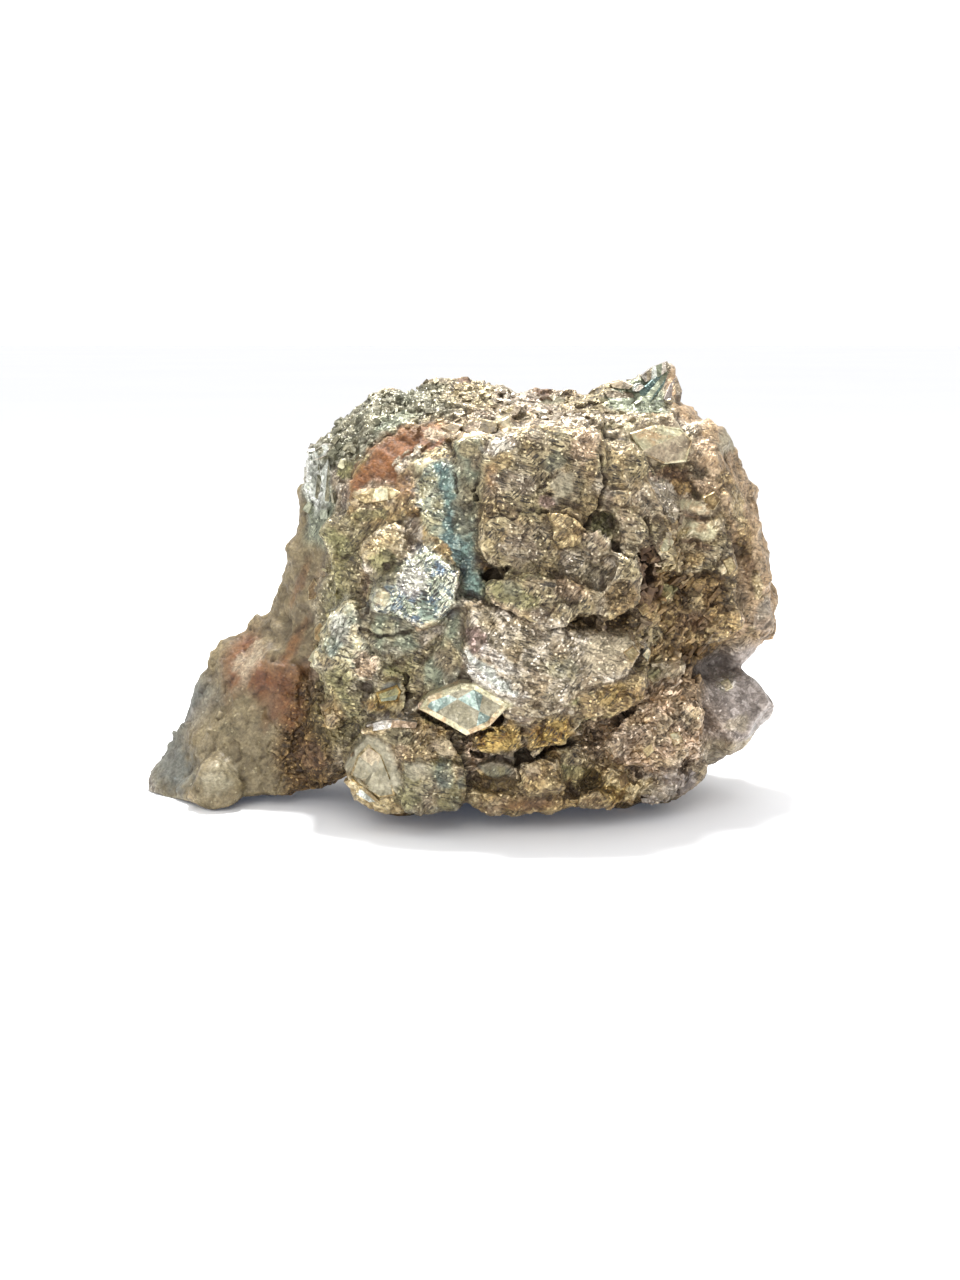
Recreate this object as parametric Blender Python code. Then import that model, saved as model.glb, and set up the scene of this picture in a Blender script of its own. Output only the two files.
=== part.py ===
"""A hand specimen of rough pyrite: one grown aggregate, modelled as one closed solid.

Lengths in the tables are millimetres. X runs to the right, Y away from the viewer, and Z up
from the surface that the specimen rests on.
"""

from __future__ import annotations

import math
import random
from dataclasses import dataclass

import bmesh
import bpy
from mathutils import Euler, Matrix, Vector
from mathutils.bvhtree import BVHTree

# Driving dimensions: how wide the specimen is, and how wide it is in the tables
WIDTH = 90.3
TABLE_WIDTH = 90.3
MM = 0.001 * WIDTH / TABLE_WIDTH

# How finely the joined lumps are skinned and smoothed, and how many triangles the skin may keep
SKIN_STEP = 0.6
SKIN_SMOOTHING = 0.5
SKIN_TRIANGLES = 9600
# The stone's grain: the size of its hackles and how far they stand proud
COARSE_GRAIN = 5.0
COARSE_RELIEF = 0.8
FINE_GRAIN = 2.2
FINE_RELIEF = 0.35
GRAIN_CONTRAST = 1.2
GRAIN_MIDDLE = 0.6
# Height in the tables at which the underside is broken flat
REST_LEVEL = 0.6
# Brassy metal, dulled by brown tarnish
PYRITE_COLOUR = (0.34, 0.27, 0.15, 1.0)
PYRITE_METALLIC = 0.7
PYRITE_ROUGHNESS = 0.42

Outline = tuple[tuple[float, float], ...]


@dataclass(frozen=True)
class Section:
    """A slice of the main mass: its depth, the point it shrinks towards, and its share of the outline."""

    depth: float
    centre: tuple[float, float]
    wide: float
    high: float


@dataclass(frozen=True)
class Lump:
    """A rounded grain with broken faces: its centre, half sizes, turn in degrees and number of faces."""

    name: str
    at: tuple[float, float, float]
    half: tuple[float, float, float]
    turn: tuple[float, float, float] = (0.0, 0.0, 0.0)
    faces: int = 12


@dataclass(frozen=True)
class Slab:
    """An angular piece: the smallest solid that holds its corners."""

    name: str
    corners: tuple[tuple[float, float, float], ...]


@dataclass(frozen=True)
class Plate:
    """One crystal face or knob of the front: its outline in x and z, and how it leans and bulges.

    The outline lies on a plane that passes its middle at the depth, and falls back by the lean for
    each millimetre to the right and upwards. The dome is how far the middle bulges from that plane.
    """

    name: str
    depth: float
    lean: tuple[float, float]
    dome: float
    outline: Outline


@dataclass(frozen=True)
class Rubble:
    """Small broken grains over a patch of the surface, seen from a direction."""

    name: str
    at: tuple[float, float, float]
    facing: tuple[float, float, float]
    reach: tuple[float, float]
    count: int
    size: tuple[float, float]
    sink: float = 0.4


# The outline of the main mass across its widest section, clockwise from the lower left
OUTLINE = (
    (-20.0, 3.5), (-23.0, 9.0), (-23.5, 18.0), (-24.5, 27.0), (-24.3, 33.0), (-22.3, 41.0), (-21.5, 47.6),
    (-18.9, 52.2), (-14.6, 55.4), (-8.6, 56.8), (-2.4, 57.6), (0.4, 58.6), (5.3, 57.4), (12.4, 56.8),
    (19.3, 57.0), (25.5, 56.6), (31.4, 55.8), (35.4, 53.8), (38.0, 51.2), (39.7, 48.0), (40.8, 42.5),
    (42.2, 36.5), (43.8, 31.0), (45.0, 26.5), (44.0, 24.0), (39.0, 20.2), (36.0, 17.0), (37.0, 12.0),
    (35.0, 7.5), (31.6, 4.0), (26.0, 2.2), (12.0, 2.0), (-2.0, 1.6), (-12.0, 1.6),
)  # fmt: skip
SECTIONS = (
    Section(-17.6, (3.0, 24.0), 0.34, 0.42),
    Section(-15.4, (3.0, 25.0), 0.48, 0.56),
    Section(-11.6, (3.0, 26.0), 0.62, 0.72),
    Section(-6.8, (4.0, 27.0), 0.79, 0.87),
    Section(-1.0, (6.0, 29.0), 0.94, 0.96),
    Section(4.0, (8.0, 30.0), 1.0, 1.0),
    Section(10.0, (8.0, 30.0), 0.95, 0.97),
    Section(15.0, (12.0, 28.0), 0.80, 0.86),
    Section(19.0, (16.0, 22.0), 0.58, 0.66),
    Section(21.5, (18.0, 18.0), 0.34, 0.42),
)

# Flat breaks across the back of the main mass: which way each faces, and how deep it cuts
BREAKS = (
    ((-0.62, 0.70, 0.36), 4.2),
    ((0.10, 0.86, 0.50), 3.6),
    ((0.70, 0.62, 0.34), 3.6),
    ((-0.30, 0.94, -0.18), 2.2),
    ((0.42, 0.90, -0.12), 2.0),
    ((-0.66, 0.58, -0.48), 3.6),
    ((0.06, 0.80, -0.60), 3.4),
    ((0.74, 0.50, -0.44), 3.6),
    ((0.20, 0.34, 0.92), 1.4),
    ((-0.44, 0.40, 0.80), 1.8),
    ((0.60, 0.36, 0.72), 1.6),
    ((0.30, 0.10, -0.95), 1.0),
)

PLATES = (
    Plate("blue_wedge", -14.2, (-0.8, 0.1), 0.5, (
        (-2.5, 49.0), (-0.5, 48.0), (2.0, 40.0), (0.0, 35.0), (-2.0, 36.0), (-3.5, 38.0), (-5.0, 41.0),
        (-5.5, 45.0), (-5.0, 48.0),
    )),
    Plate("block_top", -17.4, (0.06, 0.16), 0.9, (
        (18.0, 52.5), (19.0, 50.0), (18.0, 46.0), (17.0, 43.0), (14.5, 43.5), (4.5, 42.0), (2.5, 43.0),
        (2.5, 52.0), (10.0, 53.0),
    )),
    Plate("block_side", -16.0, (-0.55, 0.12), 0.4, (
        (2.5, 52.0), (3.0, 48.0), (2.0, 39.0), (0.0, 44.5), (-1.0, 51.5),
    )),
    Plate("block_base", -19.2, (0.04, 0.12), 1.0, (
        (2.5, 42.5), (11.0, 43.0), (13.0, 35.0), (5.5, 35.0), (3.5, 36.0), (2.0, 38.0),
    )),
    Plate("gold_knob", -20.0, (0.0, 0.1), 1.3, (
        (11.0, 43.0), (13.5, 43.5), (15.5, 42.5), (16.5, 40.5), (15.0, 38.5), (12.5, 38.0), (11.5, 39.5),
    )),
    Plate("grey_knob", -20.2, (-0.3, 0.05), 1.0, (
        (17.5, 40.5), (19.0, 39.5), (19.0, 37.5), (17.0, 36.0), (15.5, 37.0), (16.0, 40.0),
    )),
    Plate("ear_ridge", -20.6, (0.22, 0.08), 1.5, (
        (13.0, 35.0), (15.0, 33.0), (18.0, 33.0), (20.0, 35.0), (20.5, 38.0), (22.5, 37.5), (23.5, 34.5),
        (22.5, 30.5), (18.5, 29.0), (15.0, 30.0),
    )),
    Plate("block_lip", -22.2, (0.05, 0.28), 1.0, (
        (3.0, 33.5), (5.0, 34.5), (9.0, 35.0), (12.5, 34.0), (15.0, 30.0), (13.0, 28.0), (10.0, 28.5),
        (4.5, 31.5),
    )),
    Plate("hole_facet", -17.8, (-0.3, 0.0), 0.5, (
        (0.0, 35.0), (2.5, 35.0), (3.5, 33.0), (2.5, 31.0), (0.5, 31.0),
    )),
    Plate("plate_left", -18.4, (-0.42, 0.14), 0.6, (
        (0.0, 30.5), (0.5, 24.0), (-0.5, 20.5), (-3.5, 19.0), (-6.0, 20.5), (-5.0, 23.0), (-2.5, 26.0),
        (-2.0, 28.5),
    )),
    Plate("plate_main", -21.4, (0.05, 0.2), 1.2, (
        (0.5, 31.0), (3.0, 29.0), (7.0, 27.5), (21.5, 26.0), (23.0, 24.5), (21.0, 21.5), (15.5, 20.0),
        (14.0, 18.0), (6.5, 19.0), (4.0, 21.0), (0.5, 24.5),
    )),
    Plate("bright_band", -22.6, (-0.1, 0.3), 0.5, (
        (0.5, 24.5), (2.0, 24.0), (8.5, 19.5), (6.5, 19.0), (4.0, 20.0), (1.0, 22.0),
    )),
    Plate("plate_tail", -19.8, (0.26, 0.1), 1.6, (
        (24.0, 22.0), (24.0, 19.0), (19.5, 16.0), (16.0, 16.0), (15.0, 19.5),
    )),
    Plate("plate_rim", -22.4, (0.1, -0.25), 0.7, (
        (5.5, 17.0), (7.5, 18.5), (14.5, 18.0), (15.0, 16.5), (12.0, 17.0), (8.5, 15.5), (6.0, 16.5),
    )),
    Plate("diamond", -23.4, (0.02, 0.16), 0.3, (
        (-5.5, 18.0), (-4.5, 19.0), (2.0, 21.0), (6.5, 18.5), (0.5, 15.0),
    )),
    Plate("bar_left", -21.4, (0.05, 0.05), 0.9, (
        (8.0, 14.5), (7.5, 12.0), (5.0, 11.5), (2.0, 12.0), (1.5, 14.0), (2.5, 15.5), (7.0, 15.5),
    )),
    Plate("bar_right", -20.8, (0.18, 0.05), 1.0, (
        (14.0, 16.5), (15.0, 14.0), (12.5, 12.5), (9.0, 12.0), (8.5, 15.0), (12.0, 16.5),
    )),
    Plate("cream_chip", -20.0, (0.3, 0.1), 0.8, (
        (15.0, 15.5), (15.5, 15.5), (16.0, 14.0), (15.5, 13.5), (15.0, 14.5),
    )),
    Plate("dark_facet", -20.4, (0.0, 0.1), 0.4, (
        (2.0, 10.0), (7.0, 11.0), (7.0, 9.0), (5.0, 8.0), (2.5, 8.5),
    )),
    Plate("brown_dome", -20.6, (0.1, 0.1), 1.3, (
        (7.0, 9.5), (9.5, 11.0), (12.5, 10.5), (13.5, 6.5), (9.0, 5.5), (7.0, 7.0),
    )),
    Plate("bottom_band", -18.6, (0.08, -0.2), 1.2, (
        (21.0, 4.5), (20.0, 3.0), (15.5, 3.5), (7.0, 2.5), (2.5, 3.0), (1.0, 4.0), (1.0, 6.5),
        (13.5, 5.0), (18.5, 6.0),
    )),
    Plate("boulder_pale", -18.8, (-0.5, 0.12), 0.5, (
        (-12.0, 13.5), (-9.5, 13.5), (-8.5, 11.5), (-7.5, 6.0), (-9.5, 5.5), (-15.0, 8.0), (-15.5, 8.5),
        (-14.0, 11.5),
    )),
    Plate("boulder_top", -19.6, (0.0, 0.45), 0.7, (
        (-13.0, 14.0), (-10.0, 15.5), (-6.0, 16.0), (-2.0, 15.0), (0.5, 11.0), (-8.0, 10.5),
        (-9.0, 12.5), (-11.0, 13.5),
    )),
    Plate("boulder_front", -21.4, (0.02, 0.0), 1.2, (
        (0.5, 10.5), (1.0, 7.5), (0.0, 4.0), (-5.5, 3.5), (-7.5, 4.0), (-7.5, 10.5), (-3.5, 11.0),
    )),
    Plate("boulder_under", -19.2, (-0.3, -0.35), 0.6, (
        (-15.0, 8.0), (-8.0, 5.5), (-7.5, 3.0), (-10.5, 3.0), (-14.0, 4.5),
    )),
    Plate("gold_box", -17.4, (-0.25, -0.05), 0.5, (
        (-12.5, 16.0), (-11.5, 19.0), (-10.0, 20.5), (-7.5, 20.0), (-7.0, 17.0), (-10.0, 16.0),
    )),
    Plate("gold_thumb", -14.6, (-0.1, 0.0), 1.0, (
        (-17.0, 17.5), (-16.0, 16.5), (-16.0, 14.5), (-17.0, 13.0), (-18.0, 13.5), (-18.0, 16.5),
    )),
    Plate("hollow_a", -15.6, (-0.1, 0.25), 0.6, (
        (-12.5, 27.5), (-9.5, 28.5), (-6.5, 26.5), (-5.5, 25.0), (-8.0, 23.5), (-11.5, 24.5),
    )),
    Plate("hollow_b", -16.0, (0.0, 0.2), 0.6, (
        (-5.5, 24.0), (-6.5, 21.0), (-10.0, 20.5), (-12.0, 22.0), (-12.0, 24.0), (-8.0, 23.0),
    )),
    Plate("peacock", -18.4, (-0.22, 0.22), 1.6, (
        (0.0, 35.0), (0.0, 33.5), (-0.5, 31.0), (-2.5, 28.5), (-5.0, 27.5), (-6.5, 28.5), (-12.0, 30.0),
        (-12.0, 31.5), (-11.0, 34.0), (-7.0, 36.5), (-4.5, 38.5),
    )),
    Plate("egg", -14.4, (-0.2, 0.2), 2.4, (
        (-7.0, 40.0), (-6.5, 38.5), (-7.0, 36.5), (-12.0, 33.0), (-13.5, 34.5), (-14.0, 36.0),
        (-12.5, 38.5), (-9.5, 40.5),
    )),
    Plate("left_lump", -15.2, (-0.38, 0.12), 1.6, (
        (-15.0, 31.0), (-13.5, 30.5), (-13.0, 26.5), (-10.0, 22.5), (-11.0, 20.5), (-14.5, 20.0),
        (-20.0, 21.5), (-17.0, 29.0),
    )),
    Plate("left_low", -15.0, (-0.2, 0.1), 0.8, (
        (-18.5, 20.0), (-12.5, 19.0), (-13.0, 16.0), (-14.5, 14.5), (-16.0, 17.0), (-18.0, 18.0),
    )),
    Plate("scaly_top", -11.4, (-0.25, 0.45), 0.5, (
        (-15.0, 43.0), (-13.0, 45.0), (-10.0, 45.0), (-7.5, 45.5), (-10.5, 43.5),
    )),
    Plate("scaly_face", -12.0, (-0.25, -0.1), 0.7, (
        (-7.0, 45.0), (-6.5, 42.5), (-8.5, 41.0), (-12.0, 40.0), (-14.5, 40.5), (-15.0, 42.5),
        (-10.5, 43.0),
    )),
    Plate("scaly_low", -10.6, (-0.4, 0.1), 0.8, (
        (-19.0, 39.0), (-18.0, 40.5), (-15.0, 41.5), (-12.5, 39.5), (-14.5, 36.5), (-17.0, 35.5),
    )),
    Plate("rust_band", -8.0, (-0.05, 0.55), 0.9, (
        (-15.0, 43.5), (-14.5, 47.0), (-11.5, 50.5), (-7.5, 52.5), (-3.0, 53.5), (-1.0, 52.0),
        (-1.5, 50.5), (-6.0, 48.5), (-6.5, 46.0), (-8.0, 45.0), (-10.0, 46.0),
    )),
    Plate("rust_rail", -6.0, (0.0, 0.6), 0.8, (
        (-2.0, 53.5), (5.5, 55.5), (11.0, 55.5), (12.0, 54.5), (5.0, 52.0), (1.0, 52.5),
    )),
    Plate("top_mound", -11.0, (0.0, 0.4), 0.8, (
        (-6.5, 48.5), (-4.5, 49.0), (-2.5, 48.5), (-3.0, 47.0), (-6.0, 47.0),
    )),
    Plate("cream_facet_a", -12.4, (-0.1, 0.5), 0.5, (
        (-0.5, 52.0), (2.0, 53.0), (4.0, 52.5), (4.0, 51.5), (2.0, 50.5), (0.0, 50.5),
    )),
    Plate("cream_facet_b", -10.0, (0.0, 0.4), 0.4, ((4.0, 53.5), (6.5, 54.5), (7.0, 53.0), (5.5, 52.0))),
    Plate("top_facets", -10.4, (0.0, 0.5), 0.8, (
        (7.5, 53.0), (13.0, 54.0), (18.5, 54.5), (19.0, 53.0), (13.0, 52.5),
    )),
    Plate("post_top", -14.6, (0.22, 0.3), 0.8, (
        (18.5, 51.0), (22.5, 51.0), (24.0, 49.5), (24.5, 47.0), (22.0, 45.5), (19.0, 46.0), (18.0, 48.5),
    )),
    Plate("post_mid", -15.8, (0.22, 0.08), 1.0, (
        (18.0, 45.5), (22.0, 45.0), (24.5, 46.0), (27.0, 41.5), (25.0, 41.5), (22.0, 43.5), (17.5, 42.5),
    )),
    Plate("post_gold", -16.6, (0.15, 0.05), 1.4, (
        (19.5, 43.0), (22.0, 43.0), (24.0, 41.0), (24.0, 38.0), (21.5, 36.5), (20.0, 38.5),
    )),
    Plate("post_foot", -15.0, (0.35, 0.0), 0.9, (
        (24.5, 41.0), (27.0, 41.0), (28.5, 35.0), (26.0, 35.0), (24.5, 37.5),
    )),
    Plate("tan_facet", -6.6, (0.2, 0.5), 0.4, (
        (18.5, 52.0), (24.5, 54.0), (28.5, 54.5), (31.0, 49.5), (25.0, 48.0), (24.5, 50.5),
    )),
    Plate("dark_cove", -6.2, (0.15, -0.25), 0.4, (
        (25.5, 47.5), (31.0, 48.0), (33.0, 46.0), (33.5, 44.5), (27.5, 41.5),
    )),
    Plate("rib_a", -8.0, (0.2, -0.1), 0.8, ((27.5, 42.0), (33.5, 43.5), (34.5, 41.5), (28.0, 39.5))),
    Plate("rib_b", -8.4, (0.25, 0.0), 0.8, (
        (35.0, 41.5), (35.5, 39.5), (33.0, 37.5), (29.0, 36.5), (28.0, 39.0),
    )),
    Plate("rib_c", -8.6, (0.3, 0.0), 0.9, (
        (35.5, 39.0), (36.5, 36.0), (33.5, 34.0), (30.0, 33.5), (29.0, 36.0), (33.0, 37.0),
    )),
    Plate("shingle_a", -9.4, (0.3, -0.2), 0.7, (
        (36.5, 35.5), (37.5, 33.0), (34.5, 31.0), (31.5, 30.0), (30.5, 32.5), (34.0, 33.5),
    )),
    Plate("shingle_b", -9.6, (0.3, -0.2), 0.7, (
        (37.0, 32.5), (37.0, 29.5), (34.0, 28.0), (30.5, 27.5), (30.0, 29.5), (33.5, 30.5),
    )),
    Plate("shingle_c", -9.4, (0.3, -0.2), 0.8, (
        (37.0, 29.0), (38.0, 26.5), (36.0, 24.5), (33.0, 24.0), (32.0, 26.5),
    )),
    Plate("crystal_a", -12.0, (0.1, 0.2), 0.9, (
        (26.0, 32.0), (27.5, 32.5), (28.0, 31.5), (28.0, 30.5), (26.5, 30.5),
    )),
    Plate("crystal_b", -12.4, (0.1, 0.1), 0.9, (
        (30.0, 22.0), (30.0, 21.0), (28.5, 20.0), (27.0, 20.0), (27.0, 21.0), (28.0, 22.0),
    )),
    Plate("crystal_c", -13.0, (0.1, 0.1), 0.8, (
        (24.5, 21.5), (26.0, 22.0), (26.5, 21.0), (25.5, 19.5), (24.5, 20.0),
    )),
    Plate("brown_block", -15.6, (0.2, 0.1), 1.2, (
        (22.0, 31.0), (24.0, 32.0), (26.0, 30.5), (26.0, 28.0), (24.0, 27.0), (22.0, 28.0),
    )),
    Plate("tan_block", -17.6, (0.25, 0.1), 1.2, (
        (17.0, 27.5), (19.5, 28.0), (22.5, 27.5), (23.5, 24.5), (21.0, 26.0), (18.0, 26.0),
    )),
    Plate("low_glitter", -15.6, (0.15, 0.15), 1.6, (
        (18.5, 12.0), (21.5, 16.0), (25.5, 18.0), (30.5, 18.5), (32.0, 15.5), (31.5, 12.0), (29.0, 8.5),
        (23.5, 8.5), (20.5, 9.5),
    )),
    Plate("gold_glint", -16.6, (0.05, 0.0), 0.9, (
        (18.5, 8.0), (21.0, 8.5), (23.5, 5.5), (23.0, 4.0), (20.0, 4.0), (18.5, 6.0),
    )),
    Plate("low_brown", -14.6, (0.15, -0.1), 1.0, (
        (28.5, 8.0), (30.0, 6.0), (27.5, 3.0), (24.5, 3.0), (24.0, 5.0), (24.0, 7.5),
    )),
    Plate("low_slate", -10.6, (0.35, -0.15), 0.5, (
        (33.5, 7.5), (33.0, 5.5), (29.5, 2.5), (30.5, 5.5), (30.0, 7.5),
    )),
    Plate("ear_bowl", -18.9, (0.0, 0.1), 0.6, (
        (13.0, 38.0), (15.5, 37.5), (20.5, 37.5), (20.0, 35.0), (18.0, 32.5), (15.0, 32.5), (13.0, 34.5),
    )),
    Plate("seam_crystal_a", -17.4, (0.1, 0.1), 0.7, ((16.5, 47.0), (18.0, 47.5), (18.5, 45.0), (17.0, 44.5))),
    Plate("seam_crystal_b", -17.2, (0.1, 0.1), 0.8, (
        (16.0, 44.0), (18.0, 44.5), (18.5, 43.0), (17.0, 42.0), (15.5, 42.5),
    )),
)  # fmt: skip
PLATE_THICKNESS = 8.0
# Share of the outline at each step in from the plate's edge, and how square the dome's shoulder is
PLATE_STEPS = (0.86, 0.62, 0.3)
PLATE_SHOULDER = 3.0

SLABS = (
    Slab("peak_crystal", (
        (23.1, 2.0, 56.4), (24.7, 1.6, 59.4), (26.5, 2.6, 61.3), (28.9, 3.2, 61.6), (29.5, 3.4, 60.0),
        (30.5, 2.4, 56.4), (29.3, -1.6, 54.0), (24.7, -1.8, 54.4), (21.3, 7.0, 55.4), (26.9, 9.0, 59.2),
        (30.9, 9.0, 54.4),
    )),
    Slab("peak_bump", (
        (17.2, 1.6, 55.3), (19.2, 1.4, 57.7), (22.6, 1.0, 59.1), (25.0, 1.6, 59.7), (25.8, 6.0, 59.1),
        (19.6, 6.4, 57.9), (16.8, 5.4, 55.9), (18.8, -1.6, 54.7), (24.8, -1.8, 54.9), (21.2, 2.0, 52.3),
    )),
    Slab("foot", (
        (-45.8, 1.6, 0.0), (-44.6, 3.4, 2.4), (-40.8, -3.0, 0.4), (-36.8, -7.4, 1.4), (-35.8, 3.4, 20.2),
        (-34.4, 5.0, 22.2), (-28.2, 4.0, 26.0), (-30.4, -3.6, 17.8), (-26.4, -6.6, 9.8), (-29.4, 9.6, 16.8),
        (-37.4, 8.6, 7.8), (-41.0, 6.4, 1.4), (-28.4, 9.0, 2.8), (-19.4, -4.0, 26.8), (-18.4, 6.0, 26.8),
        (-17.4, -6.0, 3.0), (-17.4, 8.0, 3.8), (-28.0, -7.0, 2.6),
    )),
    Slab("foot_knob", (
        (-38.2, -8.0, 2.8), (-36.0, -10.0, 6.2), (-33.0, -10.0, 7.0), (-30.4, -8.6, 4.6), (-31.4, -9.4, 0.9),
        (-33.6, -10.2, 0.3), (-35.6, -8.6, 0.4), (-38.0, -3.0, 2.4), (-31.0, -3.0, 2.4), (-34.0, -4.0, 8.6),
    )),
    Slab("right_corner_edge", (
        (44.6, 1.0, 27.0), (44.2, 0.0, 24.0), (38.8, -3.0, 19.2), (36.0, -5.0, 24.0), (36.0, 8.0, 20.0),
        (43.0, 8.0, 25.0), (40.0, -4.0, 26.0), (36.0, 2.0, 18.0),
    )),
    Slab("left_flank", (
        (-27.7, 3.0, 25.6), (-24.7, 1.0, 32.8), (-22.9, 2.0, 39.6), (-21.5, 4.0, 47.6), (-16.5, -8.6, 22.0),
        (-16.5, -9.0, 33.0), (-16.5, -6.0, 43.0), (-15.5, 12.0, 26.0), (-16.5, 13.0, 44.0), (-24.9, 8.0, 25.0),
    )),
)  # fmt: skip

LUMPS = (
    Lump("left_foot_root", (-16.7, -7.4, 10.6), (5.4, 6.4, 9.0), (0, 14, 0), 12),
    Lump("rest_front", (-7.6, -9.2, 2.8), (5.0, 4.0, 3.8), (0, 0, 0), 6),
    Lump("rest_right", (22.4, -5.0, 3.0), (6.0, 4.6, 4.0), (0, 0, 0), 6),
    Lump("rest_back", (8.0, 14.4, 3.2), (7.0, 5.0, 4.2), (0, 0, 10), 6),
    Lump("rest_foot", (-34.0, -6.6, 2.6), (3.2, 3.6, 3.4), (0, 0, 0), 6),
    Lump("boulder", (-6.8, -11.4, 9.0), (9.0, 9.0, 7.8), (0, -8, -6), 10),
    Lump("block_core", (11.0, -8.4, 41.0), (10.5, 9.2, 14.0), (0, 0, 0), 9),
    Lump("post_core", (24.0, -6.6, 42.0), (5.4, 8.4, 13.0), (0, -6, 10), 9),
    Lump("front_core", (6.0, -11.4, 22.0), (15.0, 8.0, 10.0), (0, 0, 0), 9),
    Lump("corner_core", (-13.0, -7.6, 15.6), (5.6, 6.6, 5.6), (0, 0, 0), 9),
    Lump("left_core", (-11.0, -5.0, 36.0), (9.0, 8.4, 15.0), (0, 10, -14), 10),
    Lump("keel_front", (4.0, -12.2, 10.0), (10.5, 8.2, 7.2), (0, 0, 0), 9),
    Lump("bottom_band", (11.6, -10.0, 8.2), (10.6, 9.2, 6.4), (0, 0, 4), 12),
    Lump("lower_right", (24.6, -6.8, 8.6), (10.2, 8.8, 8.2), (0, -8, 14), 12),
    Lump("nose", (37.0, -2.4, 13.0), (7.2, 8.6, 6.6), (0, 12, 0), 10),
    Lump("nose_back", (33.9, 2.0, 10.6), (6.6, 9.0, 6.4), (0, 10, 0), 12),
    Lump("rubble_bed", (29.6, -3.6, 27.0), (6.8, 7.6, 9.6), (0, 0, 20), 14),
    Lump("rubble_low", (27.6, -6.6, 16.6), (6.4, 7.2, 4.6), (0, -10, 10), 14),
    Lump("right_flank", (34.2, 1.0, 44.2), (6.4, 9.0, 11.2), (0, -14, 10), 10),
    Lump("right_column", (38.8, 1.6, 32.0), (5.2, 7.0, 10.4), (0, 6, 6), 10),
    Lump("right_corner", (40.6, 0.4, 26.0), (5.0, 5.2, 3.9), (0, 20, 0), 8),
    Lump("rim_a", (-16.8, 3.0, 48.3), (5.0, 6.0, 4.4), (0, -40, 0), 12),
    Lump("rim_b", (-12.0, 4.2, 53.1), (5.0, 6.0, 3.8), (0, -24, 10), 12),
    Lump("rim_c", (-4.4, 5.4, 55.3), (5.0, 6.0, 3.4), (0, -14, 0), 12),
    Lump("rim_d", (3.4, 6.2, 56.0), (5.6, 6.0, 3.0), (0, 4, 0), 12),
    Lump("rim_e", (11.4, 5.0, 54.8), (5.4, 6.0, 2.9), (0, 2, 8), 12),
    Lump("back_upper_left", (-10.0, 14.6, 41.0), (10.6, 8.4, 11.0), (10, -20, 20), 14),
    Lump("back_upper_right", (20.4, 15.2, 43.0), (13.6, 8.6, 10.6), (-10, 14, -14), 14),
    Lump("back_centre", (6.0, 17.4, 31.0), (13.0, 8.6, 12.4), (0, 10, 0), 14),
    Lump("back_low_left", (-9.6, 13.8, 17.0), (10.0, 9.2, 10.4), (0, 30, 10), 14),
    Lump("back_low_right", (21.6, 14.6, 16.4), (13.0, 9.4, 11.0), (0, -20, -10), 14),
    Lump("back_keel", (7.0, 14.6, 8.6), (11.0, 8.4, 8.2), (0, 0, 10), 12),
    Lump("back_right", (34.0, 8.4, 28.0), (6.4, 8.6, 10.4), (0, 10, -20), 12),
    Lump("back_crown", (8.0, 10.8, 50.0), (12.0, 8.0, 6.4), (0, -6, 0), 14),
    Lump("back_foot_root", (-22.0, 8.4, 12.0), (6.6, 6.0, 9.0), (0, 30, 10), 12),
)  # fmt: skip

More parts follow.
